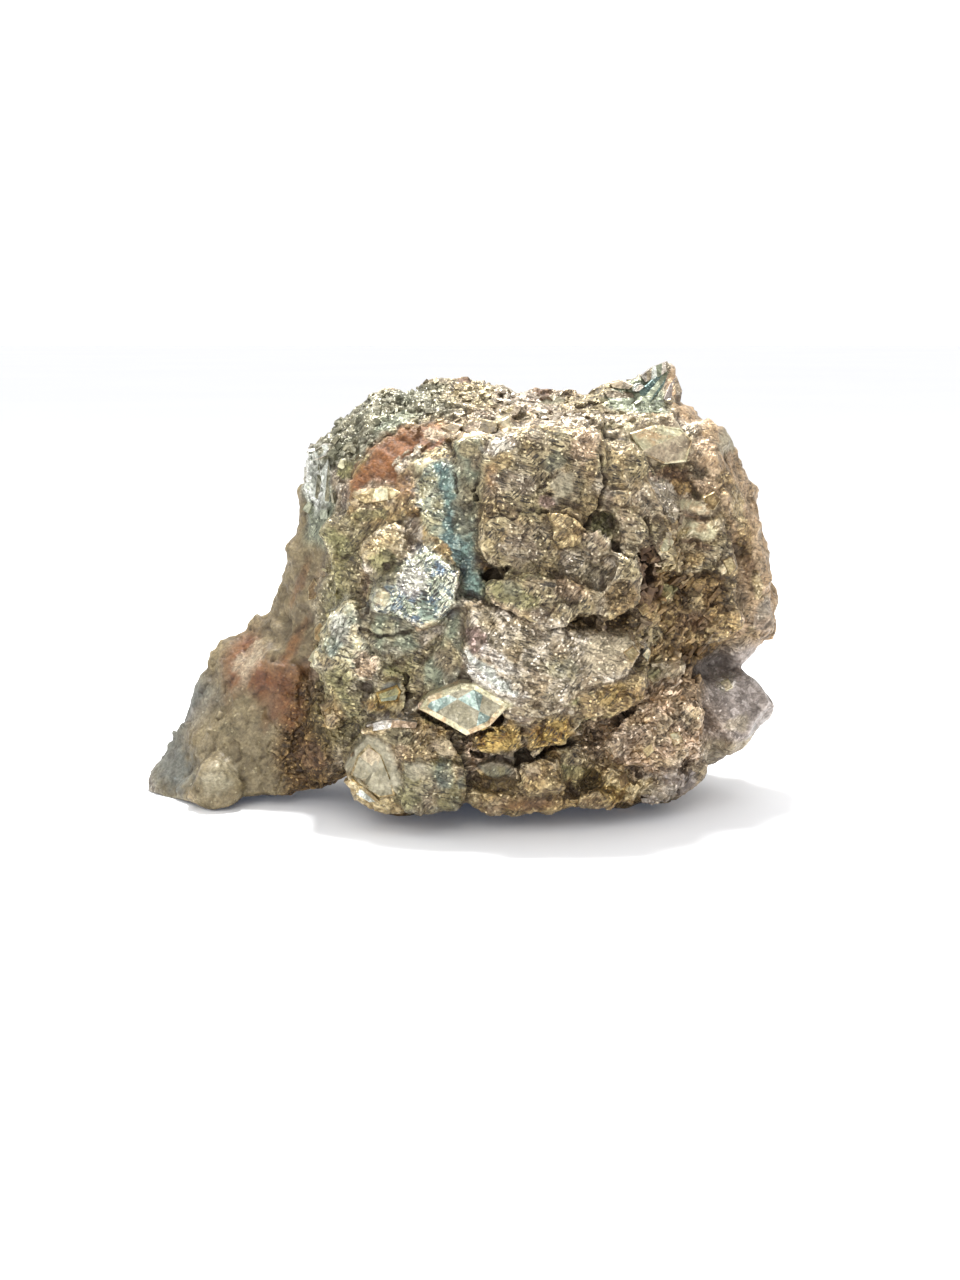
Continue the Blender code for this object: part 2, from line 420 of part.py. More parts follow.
RUBBLE = (
    Rubble("back_blocks", (8.0, 20.0, 30.0), (0.0, 1.0, 0.1), (29.0, 21.0), 26, (3.4, 6.4), 0.7),
    Rubble("right_blocks", (40.0, 8.0, 34.0), (1.0, 0.35, 0.1), (9.0, 15.0), 9, (2.4, 4.0), 0.8),
    Rubble("left_blocks", (-22.0, 10.0, 28.0), (-1.0, 0.6, 0.1), (8.0, 17.0), 10, (2.6, 4.6), 0.8),
    Rubble("crown_blocks", (8.0, 12.0, 56.0), (0.0, 0.3, 1.0), (24.0, 8.0), 16, (2.4, 4.2), 0.8),
    Rubble("foot_blocks", (-33.0, 7.0, 10.0), (-0.3, 1.0, 0.3), (7.0, 6.0), 6, (1.8, 3.0), 0.9),
    Rubble("foot_front", (-31.0, -6.0, 12.0), (-0.2, -1.0, 0.2), (7.0, 9.0), 12, (1.4, 2.8), 0.7),
    Rubble("crevice", (29.6, -10.0, 30.0), (0.25, -1.0, 0.0), (4.6, 9.0), 46, (0.8, 1.9)),
    Rubble("crevice_foot", (27.0, -12.0, 20.0), (0.2, -1.0, 0.1), (5.4, 4.0), 26, (0.8, 1.7)),
    Rubble("right_ribs", (32.0, -8.0, 41.0), (0.3, -1.0, 0.1), (3.6, 6.0), 22, (0.8, 1.8)),
    Rubble("right_face", (37.0, -4.0, 38.0), (0.5, -1.0, 0.1), (4.0, 13.0), 12, (1.4, 2.8), 0.7),
    Rubble("lower_right", (25.0, -14.0, 12.0), (0.2, -1.0, 0.0), (7.0, 5.0), 40, (0.7, 1.6)),
    Rubble("rim", (-8.0, 2.0, 54.6), (-0.2, -0.7, 0.9), (13.0, 3.0), 34, (0.7, 1.6)),
    Rubble("rim_left", (-18.4, 0.0, 47.0), (-0.5, -1.0, 0.4), (3.4, 4.0), 20, (0.7, 1.5)),
    Rubble("top", (9.0, -6.0, 55.0), (0.0, -0.7, 1.0), (11.0, 4.0), 30, (0.7, 1.5)),
    Rubble("left_edge", (-17.0, -8.0, 30.0), (-0.4, -1.0, 0.0), (3.0, 9.0), 24, (0.6, 1.4)),
    Rubble("left_flank", (-22.0, -2.0, 28.0), (-0.7, -1.0, 0.0), (3.0, 12.0), 12, (1.2, 2.4), 0.7),
    Rubble("back", (8.0, 24.0, 30.0), (0.0, 1.0, 0.1), (28.0, 22.0), 60, (1.0, 2.4)),
    Rubble("right_side", (44.0, 6.0, 32.0), (1.0, 0.2, 0.0), (10.0, 14.0), 26, (0.8, 1.8)),
    Rubble("crown", (8.0, 10.0, 60.0), (0.0, 0.2, 1.0), (22.0, 8.0), 44, (0.9, 2.0)),
)  # fmt: skip
RUBBLE_SEED = 11
# A rubble grain: its number of broken faces, and its half sizes as shares of its size
GRAIN_FACES = 9
GRAIN_WIDE = (0.7, 1.3)
GRAIN_HIGH = (0.5, 1.0)
# How far out the lines that place the rubble start
RAY_START = 40.0
# Depth of a broken face from the middle of a ball of radius 1
FACE_DEPTH = (0.6, 0.88)
UP = Vector((0.0, 0.0, 1.0))
# Points closer than this to a cutting plane, in metres or in table lengths, lie on it
SAME_POINT = 1e-6
# A patch whose level direction is shorter than this faces almost straight up or down
LEVEL_LENGTH = 0.2


def clear_scene() -> None:
    """Remove every object that the file starts with."""
    for obj in list(bpy.data.objects):
        bpy.data.objects.remove(obj, do_unlink=True)


def seed_of(name: str) -> int:
    """A number from a name, the same one on every run."""
    return sum((i + 1) * ord(letter) for i, letter in enumerate(name))


def random_direction(draw: random.Random) -> Vector:
    """A unit vector drawn evenly over the sphere."""
    height = draw.uniform(-1.0, 1.0)
    turn = draw.uniform(0.0, math.tau)
    ring = math.sqrt(1.0 - height * height)
    return Vector((ring * math.cos(turn), ring * math.sin(turn), height))


def cut_flat(body: bmesh.types.BMesh, at: Vector, facing: Vector) -> None:
    """Cut away what lies beyond a plane, and close the cut."""
    geometry = body.verts[:] + body.edges[:] + body.faces[:]
    cut = bmesh.ops.bisect_plane(
        body, geom=geometry, dist=SAME_POINT, plane_co=at, plane_no=facing, clear_outer=True
    )
    rim = [item for item in cut["geom_cut"] if isinstance(item, bmesh.types.BMEdge)]
    bmesh.ops.holes_fill(body, edges=rim, sides=0)


def break_off(body: bmesh.types.BMesh, facing: Vector, depth: float) -> None:
    """Break a flat face across the side of a body that faces a direction."""
    reach = max(vertex.co.dot(facing) for vertex in body.verts)
    cut_flat(body, facing * (reach - depth), facing)


def broken_ball(draw: random.Random, faces: int) -> bmesh.types.BMesh:
    """A ball of radius 1 with flat faces broken off it."""
    ball = bmesh.new()
    bmesh.ops.create_icosphere(ball, subdivisions=2, radius=1.0)
    for _ in range(faces):
        facing = random_direction(draw)
        cut_flat(ball, facing * draw.uniform(*FACE_DEPTH), facing)
    return ball


def add_mesh(target: bmesh.types.BMesh, source: bmesh.types.BMesh, place: Matrix) -> None:
    """Move a shape to its place and add it to another, then free it."""
    bmesh.ops.transform(source, matrix=place, verts=source.verts)
    bmesh.ops.recalc_face_normals(source, faces=source.faces)
    mesh = bpy.data.meshes.new("shape")
    source.to_mesh(mesh)
    source.free()
    target.from_mesh(mesh)
    bpy.data.meshes.remove(mesh)


def outline_face(body: bmesh.types.BMesh, outline: Outline, depth: float) -> bmesh.types.BMFace:
    """A face with the outline's corners, upright at a depth."""
    return body.faces.new([body.verts.new((x, depth, z)) for x, z in outline])


def extrude_to(
    body: bmesh.types.BMesh, face: bmesh.types.BMFace, section: Matrix, keep_base: bool = False
) -> bmesh.types.BMFace:
    """Extrude a face and put its copy where the matrix sends it. A base that is kept closes that end."""
    grown = bmesh.ops.extrude_face_region(body, geom=[face])["geom"]
    if not keep_base:
        bmesh.ops.delete(body, geom=[face], context="FACES_ONLY")
    corners = [item for item in grown if isinstance(item, bmesh.types.BMVert)]
    bmesh.ops.transform(body, matrix=section, verts=corners)
    return next(item for item in grown if isinstance(item, bmesh.types.BMFace))


def shrunk_about(centre: Vector, wide: float, high: float) -> Matrix:
    """A scaling in x and z that leaves the centre where it is."""
    return Matrix.Translation(centre) @ Matrix.Diagonal((wide, 1.0, high, 1.0)) @ Matrix.Translation(-centre)


def add_main_mass(target: bmesh.types.BMesh) -> None:
    """The main mass: its outline extruded through a row of sections, then broken flat at the back."""
    mass = bmesh.new()
    widest = max(range(len(SECTIONS)), key=lambda i: SECTIONS[i].wide)
    middle = outline_face(mass, OUTLINE, SECTIONS[widest].depth)
    for row, keep_base in ((SECTIONS[widest::-1], True), (SECTIONS[widest:], False)):
        face = middle
        for section, after in zip(row, row[1:]):
            about = Vector((after.centre[0], 0.0, after.centre[1]))
            step = shrunk_about(about, after.wide / section.wide, after.high / section.high)
            move = Matrix.Translation((0.0, after.depth - section.depth, 0.0))
            face = extrude_to(mass, face, move @ step, keep_base and section is row[0])
    for facing, depth in BREAKS:
        break_off(mass, Vector(facing).normalized(), depth)
    add_mesh(target, mass, Matrix.Scale(MM, 4))


def add_plate(target: bmesh.types.BMesh, plate: Plate) -> None:
    """A domed plate that reaches back into the main mass."""
    middle_x = sum(x for x, _z in plate.outline) / len(plate.outline)
    middle_z = sum(z for _x, z in plate.outline) / len(plate.outline)
    centre = Vector((middle_x, plate.depth, middle_z))
    piece = bmesh.new()
    face = outline_face(piece, plate.outline, plate.depth + PLATE_THICKNESS)
    face = extrude_to(piece, face, Matrix.Translation((0.0, -PLATE_THICKNESS, 0.0)), keep_base=True)
    share_before, rise_before = 1.0, 0.0
    for share in PLATE_STEPS:
        rise = plate.dome * (1.0 - share**PLATE_SHOULDER) ** (1.0 / PLATE_SHOULDER)
        step = shrunk_about(centre, share / share_before, share / share_before)
        face = extrude_to(piece, face, Matrix.Translation((0.0, rise_before - rise, 0.0)) @ step)
        share_before, rise_before = share, rise
    lean = Matrix.Identity(4)
    lean[1][0], lean[1][2] = plate.lean
    place = Matrix.Translation(centre) @ lean @ Matrix.Translation(-centre)
    add_mesh(target, piece, Matrix.Scale(MM, 4) @ place)


def add_slab(target: bmesh.types.BMesh, slab: Slab) -> None:
    """An angular piece, as the hull of its corners."""
    piece = bmesh.new()
    for corner in slab.corners:
        piece.verts.new(corner)
    hull = bmesh.ops.convex_hull(piece, input=piece.verts)
    bmesh.ops.delete(piece, geom=hull["geom_interior"], context="VERTS")
    add_mesh(target, piece, Matrix.Scale(MM, 4))


def add_lump(target: bmesh.types.BMesh, lump: Lump) -> None:
    """A rounded grain with broken faces."""
    ball = broken_ball(random.Random(seed_of(lump.name)), lump.faces)
    turn = Euler([math.radians(angle) for angle in lump.turn]).to_matrix().to_4x4()
    size = Matrix.Diagonal((*lump.half, 1.0))
    add_mesh(target, ball, Matrix.Scale(MM, 4) @ Matrix.Translation(lump.at) @ turn @ size)


def add_rubble(target: bmesh.types.BMesh, rubble: Rubble, surface: BVHTree) -> None:
    """Small grains, each set a little into the surface where a line towards the specimen meets it."""
    draw = random.Random(RUBBLE_SEED + seed_of(rubble.name))
    facing = Vector(rubble.facing).normalized()
    across = facing.cross(UP)
    across = across.normalized() if across.length > LEVEL_LENGTH else Vector((1.0, 0.0, 0.0))
    along = across.cross(facing).normalized()
    for _ in range(rubble.count):
        turn = draw.uniform(0.0, math.tau)
        share = math.sqrt(draw.random())
        size = draw.uniform(*rubble.size)
        offset = across * (share * math.cos(turn) * rubble.reach[0])
        offset += along * (share * math.sin(turn) * rubble.reach[1])
        start = Vector(rubble.at) + offset + facing * RAY_START
        hit, _normal, _face, _distance = surface.ray_cast(start * MM, -facing)
        if hit is None:
            continue
        grain = broken_ball(draw, GRAIN_FACES)
        half = Vector((draw.uniform(*GRAIN_WIDE), draw.uniform(*GRAIN_WIDE), draw.uniform(*GRAIN_HIGH)))
        half *= size * MM
        angles = [draw.uniform(0.0, math.tau) for _axis in range(3)]
        place = Matrix.Translation(hit - facing * (rubble.sink * size * MM))
        place = place @ Euler(angles).to_matrix().to_4x4() @ Matrix.Diagonal((*half, 1.0))
        add_mesh(target, grain, place)


def joined_shapes() -> bpy.types.Mesh:
    """Every lump, slab and grain in one mesh, still passing through each other."""
    shapes = bmesh.new()
    add_main_mass(shapes)
    for plate in PLATES:
        add_plate(shapes, plate)
    for slab in SLABS:
        add_slab(shapes, slab)
    for lump in LUMPS:
        add_lump(shapes, lump)
    surface = BVHTree.FromBMesh(shapes)
    for rubble in RUBBLE:
        add_rubble(shapes, rubble, surface)
    mesh = bpy.data.meshes.new("pyrite_rock")
    shapes.to_mesh(mesh)
    shapes.free()
    return mesh


def add_grain(obj: bpy.types.Object, name: str, size: float, relief: float) -> None:
    """Hackly roughness over the whole skin."""
    texture = bpy.data.textures.new(name, "VORONOI")
    texture.distance_metric = "DISTANCE"
    texture.noise_scale = size * MM
    texture.noise_intensity = GRAIN_CONTRAST
    modifier = obj.modifiers.new(name, "DISPLACE")
    modifier.texture = texture
    modifier.texture_coords = "LOCAL"
    modifier.strength = relief * MM
    modifier.mid_level = GRAIN_MIDDLE


def skin(obj: bpy.types.Object) -> None:
    """Fuse the shapes into one closed skin, roughen it and thin its triangles."""
    fuse = obj.modifiers.new("fuse", "REMESH")
    fuse.mode = "VOXEL"
    fuse.voxel_size = SKIN_STEP * MM
    soften = obj.modifiers.new("soften", "SMOOTH")
    soften.factor = SKIN_SMOOTHING
    soften.iterations = 1
    add_grain(obj, "coarse_grain", COARSE_GRAIN, COARSE_RELIEF)
    add_grain(obj, "fine_grain", FINE_GRAIN, FINE_RELIEF)


def evaluated_mesh(obj: bpy.types.Object) -> bpy.types.Mesh:
    """A new mesh of the object with its modifiers applied."""
    graph = bpy.context.evaluated_depsgraph_get()
    return bpy.data.meshes.new_from_object(obj.evaluated_get(graph))


def thin(obj: bpy.types.Object) -> None:
    """Drop triangles where the skin is flattest."""
    triangles = sum(len(face.vertices) - 2 for face in obj.data.polygons)
    decimate = obj.modifiers.new("thin", "DECIMATE")
    decimate.ratio = SKIN_TRIANGLES / triangles
    decimate.use_collapse_triangulate = True


def bounds(mesh: bpy.types.Mesh) -> tuple[Vector, Vector]:
    """The lowest and highest corner of a mesh."""
    points = [vertex.co for vertex in mesh.vertices]
    low = Vector([min(point[axis] for point in points) for axis in range(3)])
    high = Vector([max(point[axis] for point in points) for axis in range(3)])
    return low, high


def keep_largest(body: bmesh.types.BMesh) -> None:
    """Delete every crumb that hangs free of the main body."""
    unseen = set(body.verts)
    islands = []
    while unseen:
        waiting = [unseen.pop()]
        island = list(waiting)
        while waiting:
            vertex = waiting.pop()
            for edge in vertex.link_edges:
                other = edge.other_vert(vertex)
                if other in unseen:
                    unseen.remove(other)
                    waiting.append(other)
                    island.append(other)
        islands.append(island)
    largest = max(islands, key=len)
    for island in islands:
        if island is not largest:
            bmesh.ops.delete(body, geom=island, context="VERTS")


def flatten_rest(mesh: bpy.types.Mesh) -> None:
    """Cut the underside flat where the specimen rests, and stand it over the origin."""
    body = bmesh.new()
    body.from_mesh(mesh)
    keep_largest(body)
    cut_flat(body, Vector((0.0, 0.0, REST_LEVEL * MM)), Vector((0.0, 0.0, -1.0)))
    bmesh.ops.triangulate(body, faces=[face for face in body.faces if len(face.verts) > 3])
    bmesh.ops.recalc_face_normals(body, faces=body.faces)
    keep_largest(body)
    body.to_mesh(mesh)
    body.free()
    low, high = bounds(mesh)
    centre = (low + high) / 2.0
    mesh.transform(Matrix.Translation((-centre.x, -centre.y, -low.z)))


def pyrite_material() -> bpy.types.Material:
    """The specimen's one finish."""
    material = bpy.data.materials.new("pyrite")
    material.use_nodes = True
    shader = material.node_tree.nodes["Principled BSDF"]
    shader.inputs["Base Color"].default_value = PYRITE_COLOUR
    shader.inputs["Metallic"].default_value = PYRITE_METALLIC
    shader.inputs["Roughness"].default_value = PYRITE_ROUGHNESS
    return material


def main() -> None:
    """Build the specimen as one object."""
    clear_scene()
    rough = bpy.data.objects.new("rough_specimen", joined_shapes())
    bpy.context.scene.collection.objects.link(rough)
    skin(rough)
    mesh = evaluated_mesh(rough)
    bpy.data.objects.remove(rough, do_unlink=True)
    specimen = bpy.data.objects.new("pyrite_rock", mesh)
    bpy.context.scene.collection.objects.link(specimen)
    thin(specimen)
    thinned = evaluated_mesh(specimen)
    specimen.modifiers.clear()
    flatten_rest(thinned)
    specimen.data = thinned
    thinned.name = "pyrite_rock"
    thinned.materials.clear()
    thinned.materials.append(pyrite_material())
    thinned.shade_flat()


main()
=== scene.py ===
"""A hand specimen of rough pyrite on a pale floor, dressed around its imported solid.

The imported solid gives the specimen's mass, size and place. The skin is grown on a copy of it: the
crystal faces of the front are laid over it plate by plate, everything is fused into one closed
surface, and that surface is broken up into hackles, chips, scales and cracks. Loose-looking grains
and the few sharp crystals are pieces of their own. Lengths in the tables are millimetres, with X
to the right, Y away from the viewer and Z up.
"""

import logging
import math
import random
from dataclasses import astuple, dataclass
from enum import Enum

import bmesh
import bpy
import numpy as np
from mathutils import Matrix, Vector, noise
from mathutils.bvhtree import BVHTree


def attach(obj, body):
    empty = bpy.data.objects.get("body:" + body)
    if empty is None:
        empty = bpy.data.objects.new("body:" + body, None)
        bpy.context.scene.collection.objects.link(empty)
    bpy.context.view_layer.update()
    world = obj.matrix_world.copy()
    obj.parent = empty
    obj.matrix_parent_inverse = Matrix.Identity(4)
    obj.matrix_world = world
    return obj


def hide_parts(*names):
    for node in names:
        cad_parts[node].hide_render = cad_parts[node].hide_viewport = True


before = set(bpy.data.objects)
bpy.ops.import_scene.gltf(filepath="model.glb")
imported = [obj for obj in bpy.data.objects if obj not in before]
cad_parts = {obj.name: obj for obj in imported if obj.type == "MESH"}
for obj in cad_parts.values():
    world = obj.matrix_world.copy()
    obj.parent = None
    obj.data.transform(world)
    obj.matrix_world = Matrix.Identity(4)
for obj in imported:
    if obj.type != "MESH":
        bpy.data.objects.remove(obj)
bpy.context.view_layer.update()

LOG = logging.getLogger("pyrite")

MM = 0.001
BODY = "root"
NODE = "pyrite_rock"
# Where the tables' origin lies from the middle of the specimen's foot, in millimetres
TABLE_ORIGIN = np.array((0.02, 0.07, 0.6))
TABLE_TO_SCENE = Matrix.Scale(MM, 4) @ Matrix.Translation(Vector(-TABLE_ORIGIN))

Colour = tuple[float, float, float]
Point = tuple[float, float, float]
Outline = tuple[tuple[float, float], ...]


def shade(red: int, green: int, blue: int) -> Colour:
    """Turn a display colour of 0 to 255 into a scene-linear one.

    Args:
        red: display red.
        green: display green.
        blue: display blue.

    Returns:
        The scene-linear colour.
    """
    channels = (red / 255.0, green / 255.0, blue / 255.0)
    return tuple(c / 12.92 if c <= 0.04045 else ((c + 0.055) / 1.055) ** 2.4 for c in channels)


@dataclass(frozen=True)
class Relief:
    """How a surface breaks: the height in millimetres of each layer of roughness."""

    blocks: float = 0.0
    facets: float = 0.0
    hackles: float = 0.0
    chips: float = 0.0
    swell: float = 0.0
    pits: float = 0.0
    grain: float = 0.0


HACKLY = Relief(blocks=0.1, facets=0.3, hackles=0.16, chips=0.05, swell=0.2, grain=0.9)
CRUMBLY = Relief(blocks=0.4, facets=0.4, hackles=0.24, chips=0.09, swell=0.2, grain=1.0)
ROUGH = Relief(blocks=0.22, facets=0.4, hackles=0.16, chips=0.07, swell=0.3, grain=1.0)
LUMPY = Relief(blocks=0.12, facets=0.36, hackles=0.24, chips=0.05, swell=0.5, grain=0.9)
STREAKY = Relief(facets=0.28, hackles=0.12, chips=0.03, swell=0.5, grain=0.6)
WORN = Relief(facets=0.2, hackles=0.04, chips=0.03, swell=0.4, grain=0.35)
SCALY = Relief(facets=0.16, hackles=0.14, chips=0.04, swell=0.15, grain=0.9)
GRAINED = Relief(facets=0.08, hackles=0.06, chips=0.05, swell=0.12, pits=0.08, grain=0.85)
SMOOTH = Relief(facets=0.28, hackles=0.12, chips=0.05, swell=0.5, grain=0.4)
FACETED = Relief(facets=0.05, hackles=0.03, chips=0.02, swell=0.04, grain=0.15)


@dataclass(frozen=True)
class Finish:
    """How a part of the stone looks.

    The body is mottled with the second colour, and small faces take the gleam colour, a painted
    highlight as if they caught the light. Glitter is the share of such faces, and strokes the density of
    the dark hairlines, which paint the shadows of fine hackles.
    """

    body: Colour
    mottle: Colour
    gleam: Colour
    metallic: float
    roughness: float
    glitter: float
    strokes: float
    relief: Relief


class Tone(Enum):
    """The tarnishes and stones that the specimen shows."""

    STEEL_BLUE = Finish(
        shade(123, 144, 133), shade(93, 112, 109), shade(176, 190, 178), 0.75, 0.4, 0.35, 0.5, GRAINED
    )
    GREY_GREEN = Finish(
        shade(128, 132, 111), shade(106, 111, 94), shade(187, 189, 161), 0.65, 0.45, 0.25, 0.5, GRAINED
    )
    BRASS_BROWN = Finish(
        shade(141, 127, 96), shade(115, 102, 81), shade(207, 192, 154), 0.7, 0.4, 0.35, 0.9, HACKLY
    )
    OLD_GOLD = Finish(
        shade(157, 132, 93), shade(124, 103, 76), shade(219, 194, 140), 0.8, 0.36, 0.3, 0.6, HACKLY
    )
    GREY_PURPLE = Finish(
        shade(150, 135, 112), shade(120, 105, 89), shade(219, 209, 190), 0.65, 0.42, 0.3, 0.6, HACKLY
    )
    SILVER = Finish(
        shade(163, 151, 130), shade(126, 115, 95), shade(226, 214, 197), 0.85, 0.33, 0.5, 0.7, SCALY
    )
    BRIGHT_SILVER = Finish(
        shade(202, 195, 182), shade(157, 144, 129), shade(230, 225, 217), 0.9, 0.28, 0.7, 0.6, SCALY
    )
    CREAM = Finish(
        shade(192, 185, 151), shade(186, 160, 124), shade(223, 216, 187), 0.6, 0.3, 0.4, 0.2, FACETED
    )
    YELLOW_BRASS = Finish(
        shade(149, 126, 77), shade(117, 89, 52), shade(203, 173, 105), 0.85, 0.34, 0.35, 0.8, HACKLY
    )
    PALE_BLUE = Finish(
        shade(152, 168, 158), shade(128, 144, 136), shade(214, 222, 212), 0.6, 0.3, 0.3, 0.15, FACETED
    )
    DARK_GREY = Finish(
        shade(108, 97, 79), shade(97, 86, 68), shade(156, 147, 129), 0.6, 0.4, 0.2, 0.5, FACETED
    )
    PALE_GREY = Finish(
        shade(161, 154, 132), shade(137, 130, 107), shade(199, 192, 173), 0.5, 0.42, 0.1, 0.15, FACETED
    )
    GREEN_BLUE = Finish(
        shade(127, 119, 86), shade(104, 103, 87), shade(181, 177, 148), 0.7, 0.4, 0.2, 0.7, SCALY
    )
    PALE_BRASS = Finish(
        shade(181, 163, 122), shade(146, 126, 89), shade(226, 210, 172), 0.75, 0.33, 0.45, 0.4, HACKLY
    )
    OLIVE = Finish(
        shade(133, 128, 89), shade(110, 104, 76), shade(195, 187, 139), 0.65, 0.42, 0.25, 0.6, HACKLY
    )
    PEACOCK = Finish(
        shade(158, 164, 142), shade(104, 118, 130), shade(228, 224, 198), 0.9, 0.27, 0.6, 0.9, SCALY
    )
    TAN = Finish(
        shade(181, 167, 140), shade(152, 136, 113), shade(217, 202, 172), 0.45, 0.48, 0.2, 0.4, GRAINED
    )
    SILVER_BLUE = Finish(
        shade(189, 179, 141), shade(141, 145, 127), shade(251, 246, 218), 0.8, 0.35, 0.4, 0.9, GRAINED
    )
    RUST = Finish(
        shade(117, 72, 33), shade(94, 60, 31), shade(177, 131, 78), 0.15, 0.6, 0.1, 0.3, SMOOTH
    )
    DARK_GREEN = Finish(
        shade(109, 100, 76), shade(96, 87, 68), shade(178, 166, 131), 0.6, 0.45, 0.25, 0.5, HACKLY
    )
    BROWN = Finish(
        shade(90, 67, 40), shade(74, 57, 35), shade(166, 137, 90), 0.55, 0.42, 0.35, 0.5, ROUGH
    )
    DARK_BROWN = Finish(
        shade(100, 75, 56), shade(92, 70, 52), shade(149, 118, 82), 0.3, 0.55, 0.15, 0.4, CRUMBLY
    )
    PINK_BRASS = Finish(
        shade(177, 151, 123), shade(141, 119, 96), shade(240, 214, 187), 0.75, 0.35, 0.45, 0.6, ROUGH
    )
    CROWN = Finish(
        shade(125, 120, 98), shade(91, 90, 72), shade(185, 181, 160), 0.65, 0.36, 0.4, 0.4, LUMPY
    )
    # A white that paints highlights: the bright rim on the upper left, the bright band and the glints
    WHITE = Finish(
        shade(209, 212, 200), shade(150, 151, 139), shade(217, 217, 209), 0.7, 0.3, 0.6, 0.5, LUMPY
    )
    MAUVE = Finish(
        shade(169, 141, 108), shade(144, 123, 95), shade(207, 182, 149), 0.4, 0.42, 0.35, 0.6, STREAKY
    )
    PURPLE = Finish(
        shade(118, 97, 87), shade(104, 87, 76), shade(178, 152, 143), 0.7, 0.38, 0.3, 0.5, SCALY
    )
    SLATE = Finish(
        shade(146, 135, 127), shade(117, 107, 100), shade(207, 196, 189), 0.45, 0.38, 0.3, 0.25, WORN
    )
    TAN_STONE = Finish(
        shade(122, 108, 79), shade(98, 85, 62), shade(163, 153, 121), 0.05, 0.55, 0.06, 0.2, SMOOTH
    )
    ORANGE_STONE = Finish(
        shade(92, 53, 24), shade(111, 75, 44), shade(151, 110, 71), 0.0, 0.55, 0.04, 0.15, SMOOTH
    )
    GREY_STONE = Finish(
        shade(95, 95, 86), shade(80, 78, 70), shade(129, 136, 135), 0.0, 0.55, 0.04, 0.1, SMOOTH
    )
    GREEN_STONE = Finish(
        shade(122, 109, 81), shade(103, 90, 63), shade(176, 165, 128), 0.05, 0.55, 0.06, 0.2, SMOOTH
    )


# What the parts of the surface that no table names are made of, crystal by crystal
GROUND_TONES = (
    Tone.BRASS_BROWN,
    Tone.OLD_GOLD,
    Tone.GREY_PURPLE,
    Tone.BROWN,
    Tone.PINK_BRASS,
    Tone.OLIVE,
    Tone.BRASS_BROWN,
    Tone.SILVER,
)


@dataclass(frozen=True)
class Plate:
    """One crystal face or knob of the front: its outline in x and z, and how it leans and bulges.

    The outline lies on a plane that passes its middle at the depth, and falls back by the lean for
    each millimetre to the right and upwards. The dome is how far the middle bulges from that plane.
    """

    name: str
    tone: Tone
    depth: float
    lean: tuple[float, float]
    dome: float
    outline: Outline

    @property
    def centre(self) -> Vector:
        """The middle of the outline, on the plate's plane."""
        corners = len(self.outline)
        return Vector((
            sum(x for x, _z in self.outline) / corners,
            self.depth,
            sum(z for _x, z in self.outline) / corners,
        ))

    @property
    def border(self) -> float:
        """How wide the tone runs out on each side of the outline, in millimetres."""
        return 0.3 if self.tone.value.relief is FACETED else 1.0

    def plane_at(self, points: np.ndarray) -> np.ndarray:
        """The depth of the plate's plane in front of each point."""
        centre = self.centre
        rise = self.lean[0] * (points[:, 0] - centre.x) + self.lean[1] * (points[:, 2] - centre.z)
        return self.depth + rise


@dataclass(frozen=True)
class Zone:
    """A wide area of one tone, round a place: its half sizes along x, y and z, and how pure it is."""

    tone: Tone
    at: Point
    reach: Point
    strength: float = 1.0


@dataclass(frozen=True)
class Stain:
    """A patch on the surface: its half width and half height, its turn in degrees, and how full it is."""

    tone: Tone
    at: Point
    reach: tuple[float, float]
    turn: float = 0.0
    strength: float = 1.0


@dataclass(frozen=True)
class Crack:
    """A crack that runs through places on the front, with its half width and its depth."""

    points: tuple[Point, ...]
    width: float
    depth: float


# How the random numbers of a cell are drawn from the place of its middle
CELL_MIX = np.array(((127.1, 269.5, 113.5), (311.7, 183.3, 271.9), (74.7, 246.1, 124.6)))
CELL_SPREAD = 43758.5453
# Where the noise that bends places starts, so that every run gives the same stone
NOISE_SEED = 7
# How space is turned and squeezed so that the ridges of a fracture run mostly sideways
HACKLE_RUN = np.array(((0.45, 0.2, -0.3), (0.0, 0.7, 0.2), (0.25, -0.3, 1.3)))
# Which way fine strokes run, in degrees, and how long, deep and thick they are in millimetres
HATCHINGS = ((14.0, (1.1, 0.6, 0.27)), (-48.0, (0.95, 0.55, 0.24)))
# The width of an area whose strokes run one way, in millimetres
HATCHING_PATCH = 4.0
# Where in the noise of the strokes the dark ones, which paint hairline shadows, and the light ones,
# which paint highlights, begin and are full
SHADOW_STROKES = (0.556, 0.606)
HIGHLIGHT_STROKES = (0.415, 0.36)
# How far in front of or behind its place a stain or a crack still marks the surface, in millimetres
STAIN_DEPTH = 4.5
# How much wider the border of a stain is on the smooth stone, as a share of the stain's size
SOFT_BORDER = 0.35
# How much the plates of one tone differ in lightness
PLATE_VARIETY = 0.24
# How far in front of or behind its line a crack still cuts the surface, in millimetres
CRACK_REACH = 3.5
# How far around a crack's places it is looked for, in millimetres
CRACK_MARGIN = 2.0
# How places are bent before the tables are read, as a size of waves, a reach and a seed: a little for
# the outlines of plates and stains, widely for the zones, and finely for the cracks
NEAR_BEND = (1.3, 0.45, 5.0)
WIDE_BEND = (7.0, 2.6, 9.0)
CRACK_BEND = (1.0, 0.3, 41.0)
# The width of a crystal of the ground, in millimetres
GROUND_CELL = 5.0
# How far out a zone and a stain fade from full to nothing, as shares of their reach
ZONE_BORDER = (-1.4, -0.65)
STAIN_BORDER = (-1.1, -0.7)
STAIN_MARGIN = 1.8
# How far a plate's tone is looked for around its outline, and in front of and behind its plane, and
# how far back a surface may turn and still take it
PLATE_MARGIN = 1.0
PLATE_IN_FRONT = 1.2
PLATE_BEHIND = 2.6
PLATE_FACING = 0.25
# A plate's seam: where its line runs outside the outline, and how it fades on both sides
SEAM_LINE = 0.2
SEAM_BORDER = (-0.45, -0.05)
